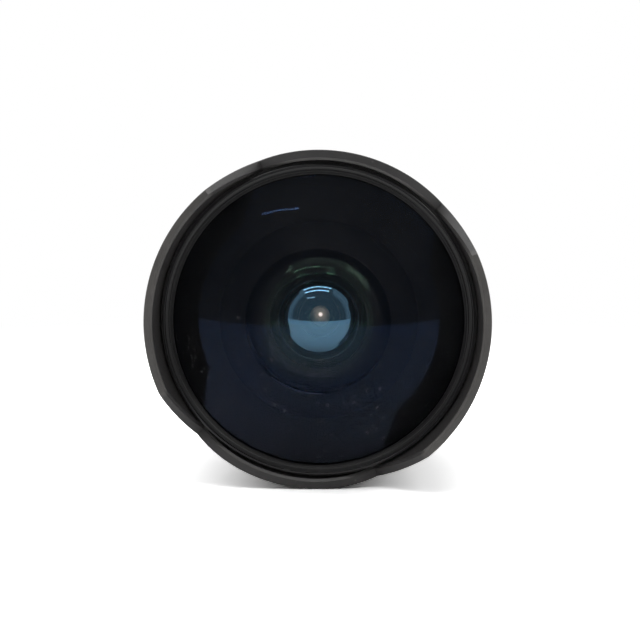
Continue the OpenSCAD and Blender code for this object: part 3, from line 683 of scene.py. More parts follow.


# The petal tips are lighter: rubbed wear together with a painted highlight.
HOOD_BLACK = SolidFinish("hood_black", "hood_plastic", (0.050, 0.048, 0.048), 0.4, shade=0.07, grain=5200.0,
                         grain_depth=0.00004, dust=0.012, wear_and_highlight=(-0.0766, -0.0776))
# Lighter colour for the inner chamfer on the short sides: a painted highlight where the chamfer catches the
# light.
PAINTED_HIGHLIGHT_EDGE = SolidFinish("painted_highlight_edge", "hood_plastic", (0.115, 0.112, 0.11), 0.4, shade=0.15)
FRONT_RING = SolidFinish("threaded_black", "ring_black", (0.008, 0.008, 0.009), 0.34, lines=3200.0,
                         line_depth=0.00001)
RING_BLACK = SolidFinish("anodised_black", "ring_black", (0.022, 0.022, 0.023), 0.36, shade=0.1,
                         lines=3200.0, line_depth=0.000012, grain=9000.0, grain_depth=0.00001, dust=0.012)
INNER_BLACK = SolidFinish("matt_black", "inner_black", (0.009, 0.009, 0.009), 0.85, specular=0.1)
EDGE_PAINT = SolidFinish("edge_paint", "inner_black", (0.007, 0.007, 0.0074), 0.8, specular=0.1)
BARE_METAL = SolidFinish("turned_alloy", "bare_metal", (0.52, 0.52, 0.53), 0.34, metallic=1.0, shade=0.08,
                         lines=2600.0, line_depth=0.00002)
CHROME = SolidFinish("plated_mount", "mount_chrome", (0.45, 0.44, 0.425), 0.26, metallic=1.0, shade=0.06,
                     lines=5200.0, line_depth=0.000008)
STEEL = SolidFinish("dark_screws", "screw_steel", (0.2, 0.2, 0.21), 0.32, metallic=1.0, grain=6000.0,
                    grain_depth=0.00001)
BRASS = SolidFinish("brass", "brass_parts", (0.60, 0.42, 0.16), 0.34, metallic=1.0, lines=2600.0,
                    line_depth=0.00002)
RUBBER = SolidFinish("moulded_rubber", "grip_rubber", (0.014, 0.014, 0.014), 0.72, grain=3800.0,
                     grain_depth=0.00005, dust=0.03)
INDEX_WHITE = SolidFinish("white_enamel", "index_white", (0.72, 0.72, 0.70), 0.45, shade=0.06)
BLADE_STEEL = SolidFinish("iris_steel", "blade_steel", (0.75, 0.70, 0.66), 0.36, metallic=1.0, grain=7000.0,
                          grain_depth=0.00001)
DOME_GLASS = GlassFinish("dome_coating", "front_glass", 1.46, (0.085, 0.18, 0.43), dust=0.04)
BOWL_GLASS = GlassFinish("bowl_coating", "front_glass", 1.46, (0.025, 0.15, 0.07))
SECOND_FRONT = GlassFinish("second_front_coating", "inner_glass", 1.5, (0.05, 0.06, 0.09))
SECOND_REAR = GlassFinish("second_rear_coating", "inner_glass", 1.5, (1.6, 3.5, 5.4))
INNER_COAT = GlassFinish("inner_coating", "inner_glass", 1.5, (0.10, 0.22, 0.20))

NODE_FINISHES: dict[SolidFinish, tuple[str, ...]] = {
    HOOD_BLACK: ("hood",),
    RING_BLACK: ("rear_barrel", "scale_ring", "focus_ring", "aperture_ring", "focus_cam"),
    FRONT_RING: ("front_barrel", "front_retaining_ring"),
    INNER_BLACK: ("rear_baffle", "front_baffle", "front_seal", "rear_cell", "mid_retaining_ring",
                  "spacer_ring_7", "spacer_ring_9", "rear_retaining_ring", "iris_housing", "focus_cell",
                  "second_retaining_ring", "fore_retaining_ring"),
    BARE_METAL: ("main_barrel",),
    CHROME: ("bayonet_mount",),
    STEEL: ("mount_screws", "rear_barrel_screws", "scale_ring_screws", "rear_cell_screws", "iris_screws",
            "iris_snap_ring", "front_barrel_screws", "hood_screws", "focus_ring_screws", "click_ball",
            "aperture_pin", "cam_followers"),
    BRASS: ("click_spring", "aperture_arm", "iris_cam_ring"),
    RUBBER: ("focus_grip",),
    INDEX_WHITE: ("mount_index_bead",),
    BLADE_STEEL: tuple(f"iris_blade_{number}" for number in range(1, 7)),
}


def dress_nodes() -> None:
    """Gives every opaque CAD node its finish."""
    for finish, nodes in NODE_FINISHES.items():
        for node in nodes:
            finish.dress(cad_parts[node])


def settle(piece: bpy.types.Object, body: str, finish: Finish, *nodes: str) -> None:
    """Makes a piece ride on its body and stand for CAD nodes.

    Args:
        piece: The finished piece.
        body: Body that carries it.
        finish: Not used.
        *nodes: CAD nodes that it replaces.
    """
    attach(piece, body)
    if nodes:
        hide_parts(*nodes)
    LOG.info("%s: %d faces, on %s", piece.name, len(piece.data.polygons), body)


# Glass


class Face(Enum):
    """The faces of an element, in the order of its material slots."""

    FRONT = 0
    REAR = 1
    EDGE = 2


@dataclass(frozen=True)
class Element:
    """One glass element, turned about the axis, with a coating on each face and a blackened edge.

    A positive radius bulges, a negative one is hollow and 0 is flat. With a thickness at the centre, a
    hollow rear face ends at a rim and leaves a flat ring round it. With a clear radius, the rear face is
    blackened beyond it.
    """

    node: str
    body: str
    front_radius: float
    rear_radius: float
    front_coat: GlassFinish
    rear_coat: GlassFinish
    thickness: Optional[float] = None
    clear: Optional[float] = None
    rings: int = 20
    steps: int = 120
    edge_slope: ClassVar[float] = 0.02
    edge_share: ClassVar[float] = 0.98

    def sag(self, radius: float, reach: float) -> float:
        """Depth of a face at a distance from the axis, signed as the face bulges.

        Args:
            radius: Radius of the face.
            reach: Distance from the axis.

        Returns:
            The depth in mm.
        """
        if not radius:
            return 0.0
        return math.copysign(abs(radius) - math.sqrt(radius * radius - reach * reach), radius)

    def face(self, radius: float, reach: float, vertex: float, side: int) -> list[Point]:
        """Points of one face from the axis outwards.

        Args:
            radius: Radius of the face.
            reach: Radius of its rim.
            vertex: Station of its vertex.
            side: 1 for a front face and -1 for a rear one.

        Returns:
            The points as (radius, station).
        """
        if not radius:
            return [(0.0, vertex), (reach, vertex)]
        angles = [math.asin(reach / abs(radius)) * step / self.rings for step in range(self.rings + 1)]
        reaches = [abs(radius) * math.sin(angle) for angle in angles]
        return [(place, vertex - side * self.sag(radius, place)) for place in reaches]

    def model(self) -> bpy.types.Object:
        """Turns the element and dresses its faces.

        Returns:
            The new piece.
        """
        edge = node_radius(self.node)
        front_end, rear_end = node_front(self.node), node_rear(self.node)
        front_vertex = front_end + min(0.0, self.sag(self.front_radius, edge))
        rim = edge
        if self.thickness:
            hollow = front_vertex - self.thickness - rear_end
            rim = math.sqrt(hollow * (2 * abs(self.rear_radius) - hollow))
        rear_vertex = rear_end - min(0.0, self.sag(self.rear_radius, rim))
        rear = self.face(self.rear_radius, rim, rear_vertex, -1)
        if rim < edge:
            rear.append((edge, rear_end))
        front = self.face(self.front_radius, edge, front_vertex, 1)
        piece = turn_on_lathe(f"{self.node}_glass", rear + front[::-1], self.steps)
        self.dress(piece, edge, rim, (front[-1][1] + rear[-1][1]) / 2)
        settle(piece, self.body, self.front_coat, self.node)
        return piece

    def dress(self, piece: bpy.types.Object, edge: float, rim: float, middle: float) -> None:
        """Puts the coatings on the two faces and black on the edge and the flat ring.

        Args:
            piece: The turned element.
            edge: Its radius.
            rim: Radius of the rear face.
            middle: Not used.
        """
        for finish in (self.front_coat, self.rear_coat, EDGE_PAINT):
            piece.data.materials.append(finish.material())
        for polygon in piece.data.polygons:
            reach = axis_radius(polygon.center)
            on_edge = abs(polygon.normal.y) < self.edge_slope and reach > edge * self.edge_share
            on_ring = polygon.normal.y > 0 and reach > (self.clear or rim)
            face = Face.FRONT if polygon.normal.y < 0 else Face.REAR
            polygon.material_index = (Face.EDGE if on_edge or on_ring else face).value


ELEMENTS = (
    Element("front_lens", "barrel", 60.0, -24.2, DOME_GLASS, BOWL_GLASS, thickness=2.8, clear=15.4, rings=64,
            steps=240),
    Element("lens_2", "focus_cell", 28.0, -17.6, SECOND_FRONT, SECOND_REAR, thickness=1.69, rings=48,
            steps=192),
    Element("lens_3", "focus_cell", 40.0, 16.0, INNER_COAT, INNER_COAT),
    Element("lens_4", "focus_cell", -16.0, -17.0, INNER_COAT, INNER_COAT, clear=3.2, rings=40),
    Element("lens_5", "barrel", 20.0, 11.0, INNER_COAT, INNER_COAT),
    Element("lens_6", "barrel", -11.0, 0.0, INNER_COAT, INNER_COAT),
    Element("lens_7", "barrel", 35.0, 22.0, INNER_COAT, INNER_COAT),
    Element("lens_8", "barrel", -25.0, -14.0, INNER_COAT, INNER_COAT),
    Element("lens_9", "barrel", 14.0, 24.0, INNER_COAT, INNER_COAT),
    Element("lens_10", "barrel", 30.0, 60.0, INNER_COAT, INNER_COAT),
)


# Hood


HOOD_SCREW_ANGLES = (90, 210, 330)


@dataclass(frozen=True)
class Hood:
    """Petal hood, turned as a plain tube whose rim is then cut to petals and notches."""

    steps: int = 720
    root_radius: float = 35.05
    tip_wall: float = 1.77
    groove_depth: float = 0.4
    petal_half: float = 37.0
    notch_half: float = 56.5
    petal_roll: float = -13.0
    notch_station: float = 66.2
    side_station: float = 69.6
    rear_chamfer: float = 0.8
    outer_round: float = 0.22
    round_steps: int = 3
    inner_chamfer: float = 0.52
    least_wall: float = 0.8
    rim_foot: float = 0.2
    bore_fit: float = 0.03
    hole_radius: float = 1.73
    hole_depth: float = 2.8
    highlight_slot: ClassVar[int] = 1

    def off_petal(self, angle: float) -> float:
        """Degrees from the middle of the nearer petal to an angle about the axis."""
        return abs((angle - self.petal_roll + 90) % 180 - 90)

    def rim(self, angle: float) -> float:
        """Station of the rim at an angle about the axis.

        Args:
            angle: The angle in degrees.

        Returns:
            The station in mm forward of the flange.
        """
        from_axis = self.off_petal(angle)
        tip = node_front("hood")
        if from_axis <= self.petal_half:
            return tip
        if from_axis <= self.notch_half:
            share = (from_axis - self.petal_half) / (self.notch_half - self.petal_half)
            return tip - (tip - self.notch_station) * share
        share = (90 - from_axis) / (90 - self.notch_half)
        rise = self.side_station - self.notch_station
        return self.notch_station + rise * math.sin(math.pi / 2 * (1 - share * share))

    def model(self) -> bpy.types.Object:
        """Turns the tube, shapes its rim, rounds the rim's edges and sinks the screw holes.

        Returns:
            The new piece.
        """
        outer, bore = node_radius("hood"), node_radius("front_barrel") + self.bore_fit
        rear, tip = node_rear("hood"), node_front("hood")
        groove = self.notch_station - self.groove_depth
        profile = [
            (bore, rear), (outer - self.rear_chamfer, rear), (outer, rear + self.rear_chamfer),
            (outer, groove), (outer, tip), (outer - self.tip_wall, tip), (self.root_radius, groove),
            (bore, groove),
        ]
        piece = turn_on_lathe("petal_hood", profile, self.steps, closed=True)
        HOOD_BLACK.dress(piece)
        piece.data.materials.append(PAINTED_HIGHLIGHT_EDGE.material())
        self.shape_rim(piece, outer, groove, tip)
        self.round_rim(piece, outer, groove)
        self.sink_screws(piece)
        settle(piece, "barrel", HOOD_BLACK, "hood")
        return piece

    def shape_rim(self, piece: bpy.types.Object, outer: float, groove: float, tip: float) -> None:
        """Lowers the rim's vertices to the petals' outline, along the walls.

        Args:
            piece: The turned tube.
            outer: Outer radius.
            groove: Station of the groove's floor.
            tip: Station of the tips.
        """
        taper = (outer - self.tip_wall - self.root_radius) / (tip - groove)
        for vertex in piece.data.vertices:
            if -vertex.co.y / MM < tip - TOLERANCE:
                continue
            station = self.rim(axis_angle(vertex.co))
            inner = axis_radius(vertex.co) < outer - TOLERANCE
            wanted = self.root_radius + taper * (station - groove) if inner else outer
            share = wanted / axis_radius(vertex.co)
            vertex.co = Vector((vertex.co.x * share, -station * MM, vertex.co.z * share))

    def round_rim(self, piece: bpy.types.Object, outer: float, groove: float) -> None:
        """Bevels the rim's outer and inner edges, and gives the inner one a painted highlight on the short
        sides.

        Args:
            piece: The shaped tube.
            outer: Outer radius.
            groove: Station of the groove's floor.
        """
        def on_rim(place: Vector) -> bool:
            """Says whether a point lies on the rim."""
            return -place.y / MM > groove + self.rim_foot

        def outside(start: Vector, end: Vector) -> bool:
            """Says whether an edge runs along the rim's outside."""
            least = min(axis_radius(start), axis_radius(end))
            return on_rim(start) and on_rim(end) and least > outer - TOLERANCE

        def inside(start: Vector, end: Vector) -> bool:
            """Says whether an edge runs along the rim's inside."""
            most = max(axis_radius(start), axis_radius(end))
            return on_rim(start) and on_rim(end) and most < outer - self.least_wall

        bevels = ((outside, self.outer_round, self.round_steps), (inside, self.inner_chamfer, 1))
        for wanted, width, segments in bevels:
            select_edges(piece, wanted)
            bpy.ops.mesh.bevel(offset=width * MM, segments=segments, affect="EDGES")
        bpy.ops.object.mode_set(mode="OBJECT")
        # The inner chamfer on the short sides takes the lighter finish: a painted highlight.
        for polygon in piece.data.polygons:
            if polygon.select and self.off_petal(axis_angle(polygon.center)) > self.notch_half:
                polygon.material_index = self.highlight_slot
        finish_mesh(piece)

    def sink_screws(self, piece: bpy.types.Object) -> None:
        """Cuts a hole over each hood screw.

        Args:
            piece: The hood.
        """
        low, high = node_box("hood_screws")
        station = (low.y + high.y) / 2
        reach = node_radius("hood") * MM
        for angle in HOOD_SCREW_ANGLES:
            turn = math.radians(angle)
            clear_selection()
            bpy.ops.mesh.primitive_cylinder_add(
                vertices=48, radius=self.hole_radius * MM, depth=self.hole_depth * MM,
                location=(reach * math.cos(turn), station, reach * math.sin(turn)),
                rotation=(0, math.pi / 2 - turn, 0))
            cut_with(piece, bpy.context.object)
        bpy.ops.object.shade_smooth_by_angle(angle=SMOOTH_ANGLE)


# Ring that holds the front element


@dataclass(frozen=True)
class FrontRing:
    """Threaded ring over the edge of the front element, with stepped lands and two spanner notches.

    The lands stand as (inwards from the outer edge, back from the front), from the outside inwards. A notch
    stands as its sizes outwards, along the axis and across.
    """

    steps: int = 288
    rim_edge: float = 0.12
    skirt: Point = (32.56, 33.8)
    lands: Profile = (
        (0.4, 0.0), (0.52, 0.3), (0.85, 0.45), (1.3, 0.45), (1.35, 0.2), (1.62, 0.2), (1.68, 0.3),
        (1.78, 0.22), (1.84, 0.34), (1.94, 0.27), (2.0, 0.4), (2.12, 0.38), (2.2, 0.46), (2.2, 0.75),
    )
    lip_drop: float = 0.96
    notch_angles: tuple[int, int] = (78, 258)
    notch: tuple[float, float, float] = (1.0, 0.9, 1.4)
    notch_inset: float = 0.05
    edge_round: float = 0.05
    edge_angle: float = math.radians(25)

    def model(self) -> bpy.types.Object:
        """Turns the ring, rounds its edges and cuts the notches.

        Returns:
            The new piece.
        """
        out, top = node_radius("front_retaining_ring"), node_front("front_retaining_ring")
        foot, seat = node_rear("front_retaining_ring"), node_front("front_barrel")
        inner, outer = self.skirt
        profile = [
            (inner, foot), (outer, foot), (outer, seat), (out, seat), (out, top - self.rim_edge),
            (out - self.rim_edge, top), *((out - inwards, top - back) for inwards, back in self.lands),
            (inner, top - self.lip_drop),
        ]
        piece = turn_on_lathe("front_ring", profile, self.steps, closed=True)
        apply_modifier(piece, "BEVEL", width=self.edge_round * MM, segments=2, limit_method="ANGLE",
                       angle_limit=self.edge_angle)
        for angle in self.notch_angles:
            self.cut_notch(piece, math.radians(angle), out, top)
        finish_mesh(piece)
        FRONT_RING.dress(piece)
        settle(piece, "barrel", FRONT_RING, "front_retaining_ring")
        return piece

    def cut_notch(self, piece: bpy.types.Object, turn: float, out: float, top: float) -> None:
        """Cuts one spanner notch into the outer land.

        Args:
            piece: The ring.
            turn: Angle of the notch, in radians.
            out: Outer radius of the ring.
            top: Station of its front.
        """
        clear_selection()
        reach = out - self.notch_inset
        bpy.ops.mesh.primitive_cube_add(
            size=MM, location=(reach * MM * math.cos(turn), -top * MM, reach * MM * math.sin(turn)),
            rotation=(0, -turn, 0), scale=self.notch)
        cut_with(piece, bpy.context.object)


# Focus grip


@dataclass(frozen=True)
class Grip:
    """Rubber sleeve round the focus ring, with moulded ribs."""

    ribs: int = 54
    rib_width: float = 2.12
    rib_height: float = 0.54
    rib_round: float = 0.24
    sunk: float = 0.08
    lip: float = 0.12
    fit: float = 0.03

    def model(self) -> bpy.types.Object:
        """Turns the sleeve and sets the ribs round it.

        Returns:
            The new piece.
        """
        outer = node_radius("focus_grip")
        rear, front = node_rear("focus_grip"), node_front("focus_grip")
        bore, base = node_radius("focus_ring") + self.fit, outer - self.rib_height
        profile = [
            (bore, rear), (base - self.lip, rear), (base, rear + self.lip),
            (base, front - self.lip), (base - self.lip, front), (bore, front),
        ]
        pieces = [turn_on_lathe("grip_sleeve", profile, 4 * self.ribs, closed=True)]
        rib = self.model_rib(base, outer, rear, front)
        for number in range(self.ribs):
            twin = copy_piece(rib)
            twin.rotation_euler = (0, -2 * math.pi * (number + 0.5) / self.ribs, 0)
            activate(twin)
            apply_place()
            pieces.append(twin)
        piece = join_pieces(pieces, "ribbed_grip")
        bpy.data.objects.remove(rib)
        bpy.ops.object.shade_smooth_by_angle(angle=SMOOTH_ANGLE)
        RUBBER.dress(piece)
        settle(piece, "focus", RUBBER, "focus_grip")
        return piece

    def model_rib(self, base: float, outer: float, rear: float, front: float) -> bpy.types.Object:
        """Models one rib on +X with rounded top edges.

        Args:
            base: Radius of the sleeve.
            outer: Radius of the rib's top.
            rear: Station of its rear end.
            front: Station of its front end.

        Returns:
            The rib.
        """
        foot = base - self.sunk
        clear_selection()
        bpy.ops.mesh.primitive_cube_add(
            size=MM, location=((foot + outer) / 2 * MM, -(rear + front) / 2 * MM, 0),
            scale=(outer - foot, front - rear, self.rib_width))
        rib = bpy.context.object
        name_piece(rib, "grip_rib")
        apply_place()
        top = (outer - TOLERANCE) * MM
        select_edges(rib, lambda start, end: start.x > top and end.x > top)
        bpy.ops.mesh.bevel(offset=self.rib_round * MM, segments=3, affect="EDGES")
        bpy.ops.object.mode_set(mode="OBJECT")
        return rib


# Screws


class Recess(Enum):
    """Ways in which a screw takes its driver."""

    CROSS = "cross"
    HEX = "hex"


@dataclass(frozen=True)
class ScrewSet:
    """The like screws of one CAD node, modelled once and copied to their places.

    A screw is drawn about the optical axis with its top at station 0, and then turned to point outwards from
    the barrel or backwards from the flange. The sizes of a recess are shares of the head's radius.
    """

    node: str
    body: str
    angles: tuple[int, ...]
    reach: float
    station: float
    head: Point
    shank: Point
    recess: Recess
    tapered: bool = False
    backwards: bool = False
    edge: float = 0.1
    depth: float = 0.55
    facets: ClassVar[int] = 40
    hex_reach: ClassVar[float] = 0.58
    cross_span: ClassVar[float] = 1.25
    cross_width: ClassVar[float] = 0.3

    def model(self) -> bpy.types.Object:
        """Models the screws.

        Returns:
            The new piece.
        """
        screw = self.model_screw()
        pieces = []
        for angle in self.angles:
            twin = copy_piece(screw)
            twin.matrix_world = self.place(math.radians(angle))
            activate(twin)
            apply_place()
            pieces.append(twin)
        piece = join_pieces(pieces, f"{self.node}_{self.recess.value}")
        bpy.data.objects.remove(screw)
        STEEL.dress(piece)
        settle(piece, self.body, STEEL, self.node)
        return piece

    def place(self, turn: float) -> Matrix:
        """Gives the place of one screw.

        Args:
            turn: Its angle about the optical axis, in radians.

        Returns:
            The matrix that moves it there.
        """
        spot = Vector((self.reach * math.cos(turn), -self.station, self.reach * math.sin(turn))) * MM
        if self.backwards:
            return Matrix.Translation(spot) @ Matrix.Rotation(math.pi, 4, "X")
        outwards = Matrix.Rotation(-turn, 4, "Y") @ Matrix.Rotation(math.pi / 2, 4, "Z")
        return Matrix.Translation(spot) @ outwards

    def model_screw(self) -> bpy.types.Object:
        """Turns one screw and cuts its recess.

        Returns:
            The screw.
        """
        head_radius, head_height = self.head
        shank_radius, length = self.shank
        under = [] if self.tapered else [(head_radius, -head_height)]
        profile = [
            (0.0, 0.0), (head_radius - self.edge, 0.0), (head_radius, -self.edge), *under,
            (shank_radius, -head_height), (shank_radius, self.edge - length),
            (shank_radius - self.edge, -length), (0.0, -length),
        ]
        screw = turn_on_lathe(self.node + "_one", profile, self.facets)
        for cutter in self.recess_cutters(head_radius):
            cut_with(screw, cutter)
        return finish_mesh(screw)

    def recess_cutters(self, radius: float) -> list[bpy.types.Object]:
        """Makes the shapes that cut the recess.

        Args:
            radius: Radius of the head.

        Returns:
            The cutters, centred on the top of the screw.
        """
        clear_selection()
        depth = 2 * self.depth
        if self.recess is Recess.HEX:
            bpy.ops.mesh.primitive_cylinder_add(vertices=6, radius=radius * self.hex_reach * MM,
                                                depth=depth * MM, rotation=(math.pi / 2, 0, 0))
            return [bpy.context.object]
        span, width = radius * self.cross_span, radius * self.cross_width
        cutters = []
        for size in ((span, depth, width), (width, depth, span)):
            bpy.ops.mesh.primitive_cube_add(size=MM, scale=size)
            cutters.append(bpy.context.object)
        return cutters


GRUB_ANGLES = (30, 150, 270)
SCREWS = (
    ScrewSet("mount_screws", "barrel", (45, 135, 225, 315), 30.0, 0.15, (1.5, 0.65), (0.85, 4.55),
             Recess.CROSS, tapered=True, backwards=True),
    ScrewSet("hood_screws", "barrel", HOOD_SCREW_ANGLES, 37.23, 51.9, (1.7, 1.2), (0.9, 4.0), Recess.CROSS),
    ScrewSet("rear_barrel_screws", "barrel", GRUB_ANGLES, 32.6, 6.9, (0.8, 0.6), (0.8, 4.3), Recess.HEX),
    ScrewSet("scale_ring_screws", "barrel", GRUB_ANGLES, 34.4, 20.8, (0.8, 0.6), (0.8, 6.1), Recess.HEX),
)


# Printed scales


TOP = 90.0
FOCUS_MARKS = (("inf", 0.0), ("1", 11.4), (".5", 23.2), (".3", 39.5), (".2", 60.8), (".15", 83.3))
METRE_TURN = 94.0
STOPS = ("22", "16", "11", "8", "5.6", "4", "2.8")
STOP_TURN = 7.5
DEPTH_TURNS = (("8", 6.0), ("16", 12.0), ("22", 18.5))
DEPTH_MARKS = tuple((text, side * turn) for text, turn in DEPTH_TURNS for side in (-1, 1))


@dataclass(frozen=True)
class RingScale:
    """Plain figures and lines printed round one ring, read from behind with the lens pointing away.

    Figures stand as (text, angle) and lines as (angle, rear station, front station). They are drawn flat,
    with the arc from the top of the ring to the right and the station upwards, and then laid round the ring.
    """

    name: str
    body: str
    ring: str
    figures: tuple[tuple[str, float], ...]
    figure_station: float
    figure_height: float
    lines: tuple[tuple[float, float, float], ...]
    line_width: float = 0.28
    proud: float = 0.03
    type_size: ClassVar[float] = 1.4
    line_round: ClassVar[float] = 0.4

    def model(self) -> bpy.types.Object:
        """Prints the scale.

        Returns:
            The new piece.
        """
        radius = node_radius(self.ring)
        pieces = [self.draw_figure(text, self.arc(angle, radius)) for text, angle in self.figures]
        pieces += [self.draw_line(self.arc(angle, radius), rear, front) for angle, rear, front in self.lines]
        piece = join_pieces(pieces, self.name)
        self.lay_round(piece, radius)
        INDEX_WHITE.dress(piece)
        settle(piece, self.body, INDEX_WHITE)
        return piece

    @staticmethod
    def arc(angle: float, radius: float) -> float:
        """Arc from the top of a ring to an angle about the axis, in mm."""
        return math.radians(angle - TOP) * radius

    def draw_figure(self, text: str, along: float) -> bpy.types.Object:
        """Draws one figure flat. A lying 8 stands for infinity.

        Args:
            text: The figure.
            along: Its middle, along the arc.

        Returns:
            The figure as a mesh.
        """
        clear_selection()
        lying = text == "inf"
        bpy.ops.object.text_add()
        figure = bpy.context.object
        figure.data.body = "8" if lying else text
        figure.data.align_x, figure.data.align_y = "CENTER", "CENTER"
        figure.data.size = self.figure_height * self.type_size * MM
        figure.data.extrude = self.proud * MM
        figure.data.resolution_u = 4
        bpy.ops.object.convert(target="MESH")
        figure = bpy.context.object
        figure.rotation_euler = (0, 0, math.pi / 2 if lying else 0)
        figure.location = (along * MM, self.figure_station * MM, 0)
        apply_place()
        return figure

    def draw_line(self, along: float, rear: float, front: float) -> bpy.types.Object:
        """Draws one line flat, with its corners rounded.

        Args:
            along: Its middle, along the arc.
            rear: Its rear end.
            front: Its front end.

        Returns:
            The line as a mesh.
        """
        clear_selection()
        bpy.ops.mesh.primitive_cube_add(
            size=MM, location=(along * MM, (rear + front) / 2 * MM, 0),
            scale=(self.line_width, front - rear, 2 * self.proud))
        line = bpy.context.object
        apply_place()
        select_edges(line, lambda start, end: abs(start.z - end.z) > self.proud * MM)
        bpy.ops.mesh.bevel(offset=self.line_width * self.line_round * MM, segments=3, affect="EDGES")
        bpy.ops.object.mode_set(mode="OBJECT")
        return line

    def lay_round(self, piece: bpy.types.Object, radius: float) -> None:
        """Bends the flat print round its ring.

        Args:
            piece: The print.
            radius: Radius of the ring.
        """
        for vertex in piece.data.vertices:
            turn = math.pi / 2 + vertex.co.x / (radius * MM)
            reach = radius * MM + vertex.co.z
            vertex.co = Vector((reach * math.cos(turn), -vertex.co.y, reach * math.sin(turn)))
        finish_mesh(piece)


SCALES = (
    RingScale("focus_figures", "focus", "focus_ring",
              figures=(*((text, TOP + turn) for text, turn in FOCUS_MARKS), ("m", TOP + METRE_TURN)),
              figure_station=27.6, figure_height=2.2,
              lines=tuple((TOP + turn, 24.3, 25.5) for _, turn in FOCUS_MARKS)),
    RingScale("aperture_figures", "aperture", "aperture_ring",
              figures=tuple((text, TOP + STOP_TURN * stop) for stop, text in enumerate(STOPS)),
              figure_station=14.4, figure_height=1.9,
              lines=tuple((TOP + STOP_TURN * stop, 16.4, 17.4) for stop in range(len(STOPS)))),
    RingScale("depth_figures", "barrel", "scale_ring",
              figures=tuple((text, TOP + turn) for text, turn in DEPTH_MARKS),
              figure_station=20.4, figure_height=1.3,
              lines=((TOP, 18.9, 22.7), *((TOP + turn, 21.7, 22.7) for _, turn in DEPTH_MARKS)),
              line_width=0.24),
)


# Stage


@dataclass(frozen=True)
class Strip:
    """A ceiling strip lamp across the lens."""

    name: str
    centre: tuple[float, float, float]
    length: float
    width: float
    radiance: float


@dataclass(frozen=True)
class Softbox:
    """A wide soft lamp."""

    name: str
    centre: tuple[float, float, float]
    size: Point
    watts: float


